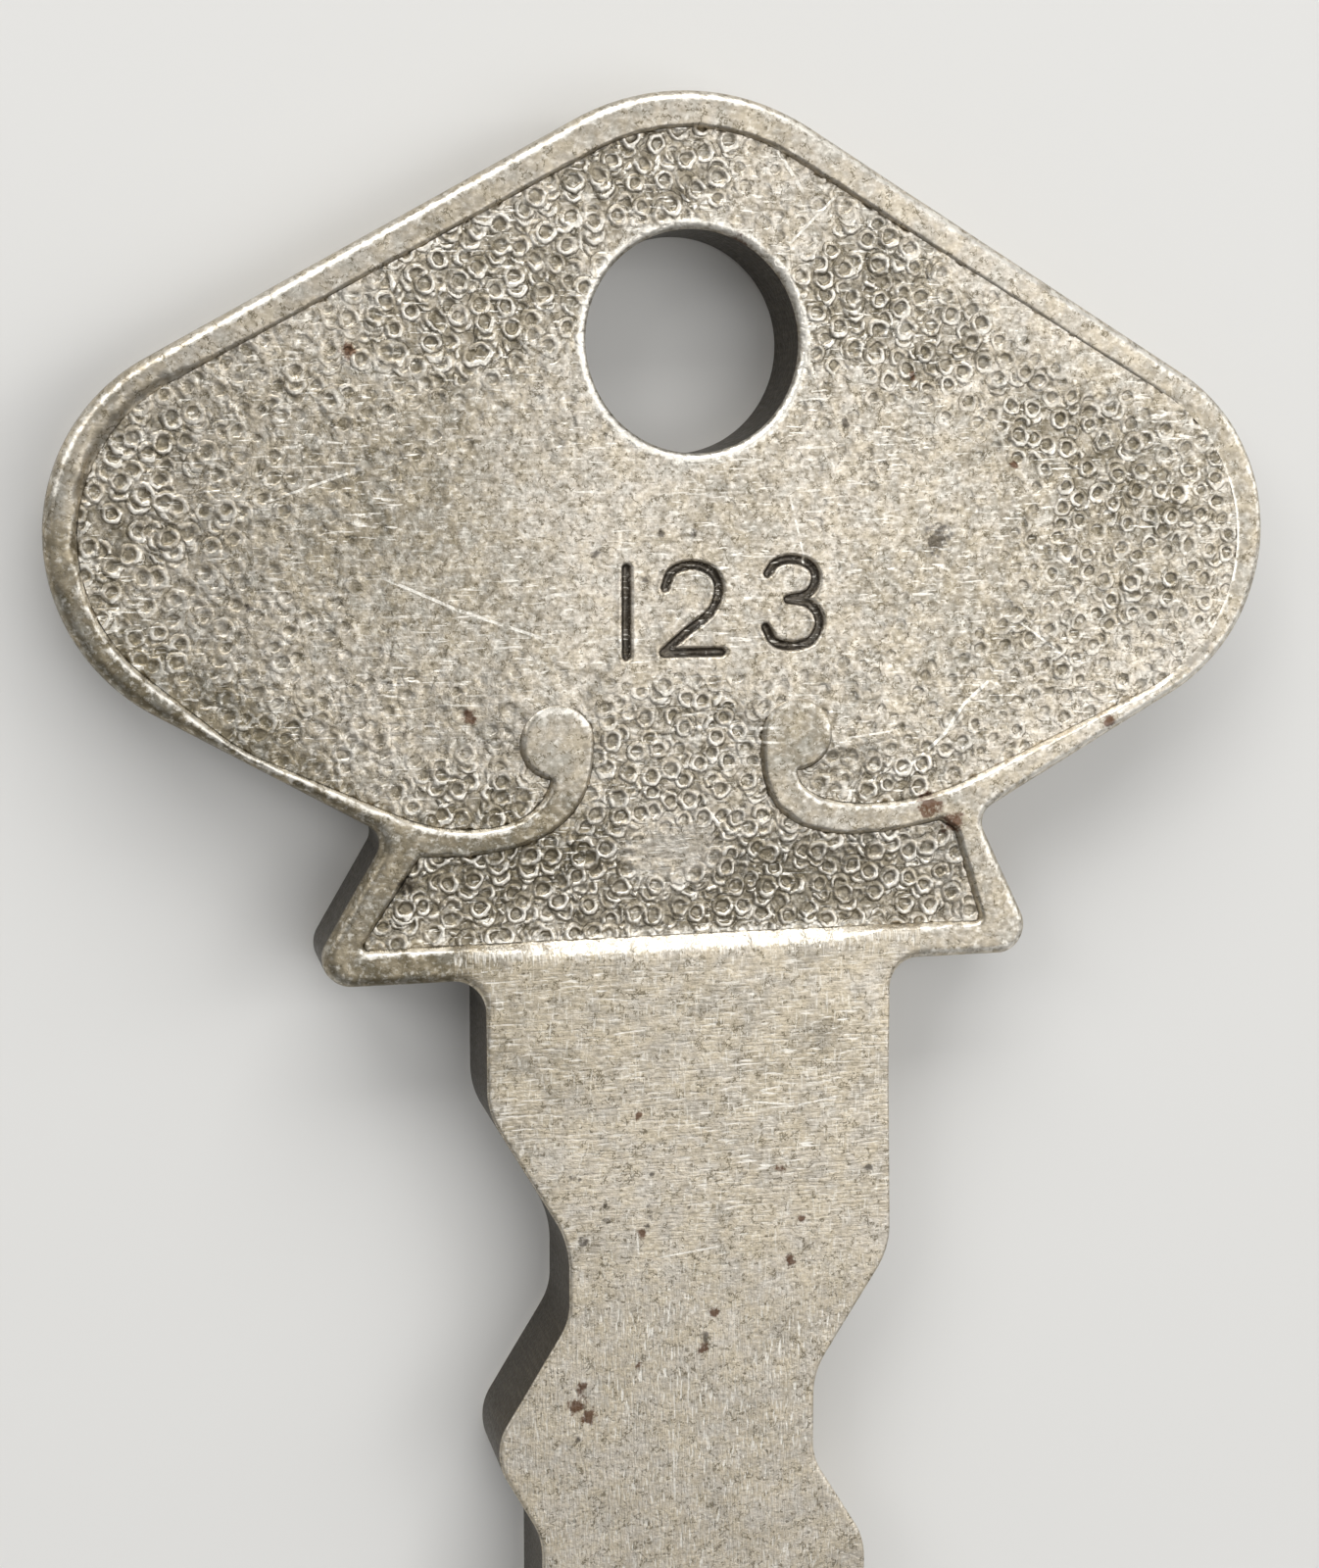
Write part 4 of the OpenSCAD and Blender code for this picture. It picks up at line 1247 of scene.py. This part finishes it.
def nickel_silver(finish):
    """Nickel silver, a warm pale copper alloy: satin and pale where it is handled, under a thin brown-grey
    film elsewhere, and olive brown in the recesses, with painted highlights where slopes and edges face
    the light and painted shade on the side walls and in the crevices round crisp rings"""
    look, punched, milled = FINISHES[finish], finish == "ring_punched", finish == "milled"
    colours = bpy.context.scene.key_colours
    tone = {key: hex_colour(getattr(colours, key)) for key in type(colours).__annotations__}
    material = bpy.data.materials.new("nickel_silver_" + finish)
    material.use_nodes = True
    tree = material.node_tree
    tree.nodes.clear()
    place = add(tree, "ShaderNodeTexCoord").outputs["Object"]
    known = {}
    for key in ("tarnish", "rub_and_highlight", "shaded_wall", "stain", "rust", "scratch", "scratch_force"):
        known[key] = add(tree, "ShaderNodeAttribute", attribute_name=key).outputs["Fac"]
    noise = {}
    for key, (size, stretch, detail) in NOISES.items():
        drawn = add(tree, "ShaderNodeVectorMath", {0: place, 1: stretch}, operation="MULTIPLY")
        noise[key] = add(tree, "ShaderNodeTexNoise", {
            "Vector": drawn, "Scale": waves(size or look["grain"]), "Detail": detail,
            "Roughness": NOISE_ROUGHNESS})

    # Layers of colour, each over the ones before it, and heights with their depth in m
    layers = film_layers(tree, noise, known["tarnish"], tone, look)
    bumps = [(noise["grain"], 1.2e-5)]
    if punched:
        more, worn = punched_layers(tree, place, noise, known, tone)
        layers += more
        bumps += [(worn, 0.35), (noise["ragged"], 1.5e-5)]
    if punched or milled:
        more, lines = line_layers(tree, place, noise, tone, look, milled)
        layers += more
        bumps.append((lines, look["line_depth"]))
    layers += use_layers(tree, noise, known, tone, "down" if milled else "ragged")
    # Side walls are painted dark with shade over their dull metal, and keep the vertical lines of the
    # shear and the cutter
    worked = add(tree, "ShaderNodeMapRange", {
        "Value": noise["shear"], FROM_LOW: 0.45, FROM_HIGH: 0.75, TO_HIGH: 0.22})
    shaded_wall = add(tree, "ShaderNodeMix", {
        SHARE: worked, COLOUR_A: tone["shaded_wall"], COLOUR_B: tone["dull"]}, data_type="RGBA")
    layers.append((shaded_wall.outputs[COLOUR_OUT], known["shaded_wall"]))
    lined = add(tree, "ShaderNodeMath", {0: noise["shear"], 1: known["shaded_wall"]}, operation="MULTIPLY")
    bumps.append((lined, 8e-6))

    colour = tone["metal"]
    for above, share in layers:
        colour = add(tree, "ShaderNodeMix", {
            SHARE: share, COLOUR_A: colour, COLOUR_B: above}, data_type="RGBA").outputs[COLOUR_OUT]
    normal = {}
    for source, depth in bumps:
        normal = {"Normal": add(tree, "ShaderNodeBump", {"Height": source, "Distance": depth, **normal})}
    rough = add(tree, "ShaderNodeMapRange", {
        "Value": noise["grain"], FROM_LOW: 0.3, FROM_HIGH: 0.7, TO_LOW: 0.34, TO_HIGH: 0.5})
    shader = add(tree, "ShaderNodeBsdfPrincipled", {
        "Base Color": colour, "Metallic": 1.0, "Roughness": rough, **normal})
    add(tree, "ShaderNodeOutputMaterial", {0: shader})
    return material


def place_piece(obj, material, nodes):
    """Gives a piece its finish and its place in the frame"""
    if not obj.data.materials:
        obj.data.materials.append(material)
    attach(obj, "root")
    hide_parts(*nodes)


def nearest_index(outline, place):
    """Number of the point of an outline that is nearest to a place"""
    return int(np.argmin(np.hypot(outline[:, 0] - place[0], outline[:, 1] - place[1])))


def ground_loops():
    """Outlines of the bow's ground and the shoulder's, which meet across the throat"""
    outline = resample(ground_outline(GROUND_LINE), GROUND_LINE)
    right, left = (nearest_index(outline, place) for place in THROAT)
    across = np.linspace(outline[right], outline[left], THROAT_POINTS)[1:-1]
    bow = np.concatenate([outline[:right + 1], across, outline[left:]])
    shoulder = np.concatenate([outline[right:left + 1], across[::-1]])
    return bow, shoulder


def flat(p):
    """Height of the middle plane, where the front and back halves of the ground meet"""
    return np.zeros(len(p))


def hole_points(radius, lip):
    """Edge of the ring hole, and the rings of points on its lip"""
    angles = np.arange(HOLE_SIDES) * (2 * math.pi / HOLE_SIDES)
    circle = np.stack([np.cos(angles), np.sin(angles)], 1)
    return circle * radius, [circle * (radius + lip * t) for t in LIP_ROWS]


def ground_shell(name, outline, step, side, holed):
    """Front or back half of a web, from the middle plane to its ground"""
    sizes = bpy.context.scene.key_sizes
    radius, lip = sizes.hole_radius / MM, sizes.hole_lip / MM
    stroke, depth = sizes.digit_stroke / MM, sizes.digit_depth / MM
    front = side > 0

    def height(p):
        z = ground_height(p)
        r = np.hypot(p[:, 0], p[:, 1])
        t = np.clip((radius + lip - r) / lip, 0, 1)
        z -= lip * (1 - np.sqrt(np.maximum(1 - t * t, 0)))
        if front:
            z -= digits_cut(p, stroke, depth)[0]
        return z * side

    # The finest net is used round the digits too, and no point is too close to an edge
    nets = []
    for scale, least, most in GROUND_NETS:
        net = lattice(*GROUND_FIELD, step * scale)
        net = net[inside(net, outline)]
        wear = wear_at(net)
        if front:
            wear[digits_cut(net, 0.2, 0.1)[1] < DIGIT_SURROUND] = 0
        nets.append(net[(wear >= least) & (wear < most)])
    net = np.concatenate(nets)
    net = net[distance(net, outline) > 0.4 * step]
    holes = []
    if holed:
        edge, rings = hole_points(radius, lip)
        holes = [edge]
        net = net[np.hypot(net[:, 0], net[:, 1]) > radius + lip + 0.03]
        net = np.concatenate([*rings, net])
    none = np.zeros((0, 2))
    if front:
        obj = shell(name, outline, holes, net, none, height, flat)
    else:
        obj = shell(name, outline, holes, none, net, flat, height)
    co = plain_points(obj)
    r = np.hypot(co[:, 0], co[:, 1])
    face = 0.3
    note(obj, "struck", (np.abs(co[:, 2]) > face) * smooth((r - radius - lip * 0.8) / 0.12))
    note(obj, "wear", wear_at(co[:, :2]))
    cut = digits_cut(co[:, :2].astype(float), stroke, depth)[0]
    note(obj, "stamp", np.clip(cut / depth, 0, 1) * (co[:, 2] > face))

    def rubbed_and_lit(p):
        """The rubbed lip of the hole, and the crest below the panel, rubbed and painted with a highlight
        where it faces the light
        """
        edge = 1.2 * bell(np.hypot(p[:, 0], p[:, 1]) - radius, *RUBBED_LIP)
        middle = smooth((4.6 - np.abs(p[:, 0])) / 1.5)
        crest = 0.75 * smooth((PANEL_BOTTOM + 0.17 - p[:, 1]) / 0.15) * middle
        return edge + crest

    note_use(obj, lambda p: np.hypot(p[:, 0], p[:, 1]) - radius, rubbed_and_lit)
    return obj


def edge_width(p):
    """Width of the soft outer edge, wide round the bow and narrow along the blade"""
    sizes = bpy.context.scene.key_sizes
    up = smooth((p[:, 1] - EDGE_FROM) / EDGE_OVER)
    return (sizes.blade_round + (sizes.outer_round - sizes.blade_round) * up) / MM


def outer_drop(p, s):
    """Fall of the soft outer edge at distance s inside the silhouette"""
    sizes = bpy.context.scene.key_sizes
    width = edge_width(p)
    t = np.clip(1 - s / width, 0, 1)
    arc = 1 - np.sqrt(np.maximum(1 - t * t, 0))
    return width * sizes.outer_drop / sizes.outer_round * arc


def face_height(p, s):
    """Height of the raised metal at distance s inside the silhouette"""
    uneven = 0.007 * ripple(p, 2.0, 8)
    return RIM_TOP - WORN_OFF - outer_drop(p, s) + uneven


def slope_width(p):
    """Width of the slope from the raised metal down to the ground"""
    sizes = bpy.context.scene.key_sizes
    soft = sum(extra * patch(p, *place) for *place, extra in SLOPE_PATCHES)
    soft = soft + LOW_SLOPE * smooth((LOW_SLOPE_FROM - p[:, 1]) / LOW_SLOPE_OVER)
    uneven = 1 + 0.25 * ripple(p, 0.6, 17)
    return (sizes.inner_slope / MM + soft) * uneven


def split_outline(step):
    """Silhouette above the stop line from left foot to right foot, and the blade's below it"""
    outline = resample(key_outline(step), step)
    right = nearest_index(outline, (FOOT_X, STOP_Y))
    left = nearest_index(outline, (-FOOT_X, STOP_Y))
    outline[right] = (FOOT_X, STOP_Y)
    outline[left] = (-FOOT_X, STOP_Y)
    upper = np.concatenate([outline[left:], outline[:right + 1]])
    return outline, upper, outline[right:left + 1]


def foot_seams():
    """Points down the right and up the left line where the blade meets the stop borders"""
    y = np.linspace(PANEL_BOTTOM, STOP_Y, FOOT_POINTS)[:-1]
    return np.column_stack([0 * y + FOOT_X, y]), np.column_stack([0 * y - FOOT_X, y])[::-1]


class KEY_OT_ground(bpy.types.Operator):
    """Strikes the ring-punched ground of bow and shoulder, front and back"""

    bl_idname = "key.ground"
    bl_label = "Ring-punched ground"

    def execute(self, context):
        step = context.scene.key_sizes.fine_step / MM
        seed = context.scene.key_marks.seed
        metal = nickel_silver("ring_punched")
        bow, shoulder = ground_loops()
        for name, loop, side, spacing, node in (
            ("bow_ground_front", bow, 1, step, "bow_web"),
            ("bow_ground_back", bow, -1, BACK_STEP * step, "bow_web"),
            ("shoulder_ground_front", shoulder, 1, SHOULDER_STEP * step, "shoulder_web"),
            ("shoulder_ground_back", shoulder, -1, BACK_STEP * step, "shoulder_web"),
        ):
            obj = ground_shell(name, loop, spacing, side, node == "bow_web")
            punch(obj, side, seed if side > 0 else seed + BACK_SEED, metal)
            place_piece(obj, metal, (node,))
        return {"FINISHED"}


class KEY_OT_rim(bpy.types.Operator):
    """Raises the rim, its two scrolls and the borders that end in the stop faces"""

    bl_idname = "key.rim"
    bl_label = "Rim and scrolls"

    def execute(self, context):
        outline, upper, _ = split_outline(KEY_LINE)
        floor = resample(ground_outline(GROUND_LINE), GROUND_LINE)
        low = np.abs(floor[:, 1] - PANEL_BOTTOM) < 1e-3
        at_foot = low & (np.abs(floor[:, 0]) <= FOOT_X + 0.02)
        first = int(np.argmax(at_foot))
        last = first + int(at_foot.sum())
        inner = np.concatenate([floor[last:], floor[:first]])[::-1]
        right, left = foot_seams()
        loop = np.concatenate([upper, right[::-1], inner, left[::-1]])
        # No point is too close to an edge or a row
        rows = np.concatenate([rows_beside(outline, EDGE_ROWS, -1), rows_beside(floor, SLOPE_ROWS, 1)])
        net = lattice(*RIM_FIELD, RIM_STEP)
        net = net[inside(net, loop)]
        net = net[(distance(net, outline) > 0.37) & (distance(net, floor) > 0.23)]
        rows = rows[inside(rows, loop)]
        rows = rows[(distance(rows, floor) > 0.007) & (distance(rows, outline) > 0.004)]
        points = np.concatenate([rows, net])

        def height(p):
            top = face_height(p, distance(p, outline))
            foot = ground_foot(p)
            width = slope_width(p)
            t = np.clip(distance(p, floor) / width, 0, 1)
            # Steep at the foot where the slope is narrow, and soft at both ends where it is wide
            soft = smooth((width - 0.14) / 0.1)
            return foot + (top - foot) * ((1 - (1 - t) ** 2) * (1 - soft) + smooth(t) * soft)

        # Painted highlights on the slopes that face the light and along the outer edge, which is partly
        # rubbed
        def rubbed_and_lit(p):
            return np.maximum(slope_highlight(p, floor), rubbed_edge_highlight(p, distance(p, outline)))

        obj = shell("rim_and_scrolls", loop, [], points, points, height, lambda p: -height(p))
        note_use(obj, lambda p: distance(p, outline), rubbed_and_lit, RIM_FILM)
        nodes = ("bow_rim", "left_scroll", "right_scroll", "left_stop", "right_stop")
        place_piece(obj, nickel_silver("handled"), nodes)
        return {"FINISHED"}


class KEY_OT_blade(bpy.types.Operator):
    """Mills the blade and cuts both of its edges"""

    bl_idname = "key.blade"
    bl_label = "Blade"

    def execute(self, context):
        outline, _, lower = split_outline(KEY_LINE)
        right, left = foot_seams()
        brow = np.linspace(left[-1], right[0], BROW_POINTS)[1:-1]
        loop = np.concatenate([brow, right, lower, left])
        rows = rows_beside(outline, BLADE_ROWS, -1)
        rows = rows[inside(rows, loop)]
        # The net is fine on the crest below the panel, and coarser on the back than in front
        nets = []
        for step in BLADE_STEPS:
            net = lattice(*BLADE_FIELD, step)
            net = net[inside(net, loop)]
            clear = (distance(net, loop) > 0.1) & (distance(net, outline) > 0.38)
            nets.append(net[clear & (net[:, 1] < CREST_FIELD[0][1])])
        fine = lattice(*CREST_FIELD, CREST_STEP)
        fine = fine[inside(fine, loop)]
        fine = fine[(distance(fine, loop) > 0.02) & (distance(fine, outline) > 0.33)]
        rows = rows[distance(rows, loop) > 0.004]
        front, back = (np.concatenate([rows, net, fine]) for net in nets)

        def height(p):
            """Height of the milled face, which rises from the panel in a crest: steep at its
            ends, and wide, soft and a little wavy in the middle"""
            top = face_height(p, distance(p, outline))
            foot = ground_foot(p)
            middle = smooth((4.8 - np.abs(p[:, 0] + 0.3)) / 2.2)
            wavy = 0.09 * ripple(p * (1, 0), 2.2, 31) + 0.03 * ripple(p * (1, 0), 0.3, 33)
            width = slope_width(p) + middle * (0.26 + wavy)
            t = np.clip((PANEL_BOTTOM - p[:, 1]) / width, 0, 1)
            rise = 1 - (1 - t) ** 2
            softer = smooth(t) * 0.35 + t * 0.65 - rise
            return foot + (top - foot) * (rise + 0.65 * middle * softer)

        # The crest at the root of the blade, rubbed and painted with a highlight where it faces the light
        def rubbed_and_lit(p):
            below = smooth(1.8 + (p[:, 1] - PANEL_BOTTOM) / 0.25)
            return 0.6 * below * smooth((5.0 - np.abs(p[:, 0])) / 1.2)

        obj = shell("blade", loop, [], front, back, height, lambda p: -height(p))
        note_use(obj, lambda p: distance(p, outline), rubbed_and_lit)
        nodes = ("blade_root", "blade_cuts", "blade_tip")
        place_piece(obj, nickel_silver("milled"), nodes)
        return {"FINISHED"}


class KEY_OT_stage(bpy.types.Operator):
    """Lays the pale floor and sets the soft lamps and the camera"""

    bl_idname = "key.stage"
    bl_label = "Floor, lamps and camera"

    def execute(self, context):
        scene = context.scene
        scene.view_settings.view_transform = "Standard"
        near, far, z = -FLOOR_HALF, FLOOR_HALF, KEY_BACK
        corners = [(near, near, z), (far, near, z), (far, far, z), (near, far, z)]
        mesh = bpy.data.meshes.new("floor")
        mesh.from_pydata(corners, [], [(0, 1, 2, 3)])
        floor = bpy.data.objects.new("floor", mesh)
        context.collection.objects.link(floor)
        paper = bpy.data.materials.new("matt_paper")
        paper.use_nodes = True
        shader = paper.node_tree.nodes["Principled BSDF"]
        shader.inputs["Base Color"].default_value = hex_colour(scene.key_colours.floor)
        shader.inputs["Roughness"].default_value = 0.9
        mesh.materials.append(paper)

        world = bpy.data.worlds.new("studio")
        world.use_nodes = True
        back = world.node_tree.nodes["Background"]
        back.inputs["Color"].default_value = (1, 1, 1, 1)
        back.inputs["Strength"].default_value = WORLD_STRENGTH
        scene.world = world

        for name, at, to, wide, tall, power in LAMPS:
            data = bpy.data.lights.new(name, "AREA")
            data.shape = "RECTANGLE"
            data.size, data.size_y, data.energy = wide, tall, power
            lamp = bpy.data.objects.new(name, data)
            lamp.location = at
            lamp.rotation_euler = (Vector(to) - Vector(at)).to_track_quat("-Z", "Y").to_euler()
            context.collection.objects.link(lamp)

        turn = Matrix(CAMERA_TURN)
        place = -(turn.transposed() @ Vector(HOLE_IN_VIEW))
        place.z += RIM_TOP
        data = bpy.data.cameras.new("photo_view")
        data.lens = CAMERA_LENS
        data.sensor_width = 36
        data.clip_start = 0.001
        camera = bpy.data.objects.new("photo_view", data)
        camera.matrix_world = Matrix.Translation(place * MM) @ turn.transposed().to_4x4()
        context.collection.objects.link(camera)
        scene.camera = camera
        return {"FINISHED"}


class KEY_PT_panel(bpy.types.Panel):
    """Lists the sizes, colours and steps of the key"""

    bl_label = "Flat ignition key"
    bl_space_type = "VIEW_3D"
    bl_region_type = "UI"
    bl_category = "Key"

    def draw(self, context):
        for group in (context.scene.key_sizes, context.scene.key_marks, context.scene.key_colours):
            box = self.layout.box()
            for name in group.__annotations__:
                box.prop(group, name)
        for operator in STEPS:
            self.layout.operator(operator.bl_idname)


STEPS = (KEY_OT_ground, KEY_OT_rim, KEY_OT_blade, KEY_OT_stage)
GROUPS = {"key_sizes": KeySizes, "key_marks": RingMarks, "key_colours": KeyColours}


def register():
    for item in (*GROUPS.values(), *STEPS, KEY_PT_panel):
        bpy.utils.register_class(item)
    for name, group in GROUPS.items():
        setattr(bpy.types.Scene, name, bpy.props.PointerProperty(type=group))


def unregister():
    for name in GROUPS:
        delattr(bpy.types.Scene, name)
    for item in (KEY_PT_panel, *reversed(STEPS), *GROUPS.values()):
        bpy.utils.unregister_class(item)


def main():
    register()
    bpy.ops.key.ground()
    bpy.ops.key.rim()
    bpy.ops.key.blade()
    bpy.ops.key.stage()


if __name__ == "__main__":
    main()
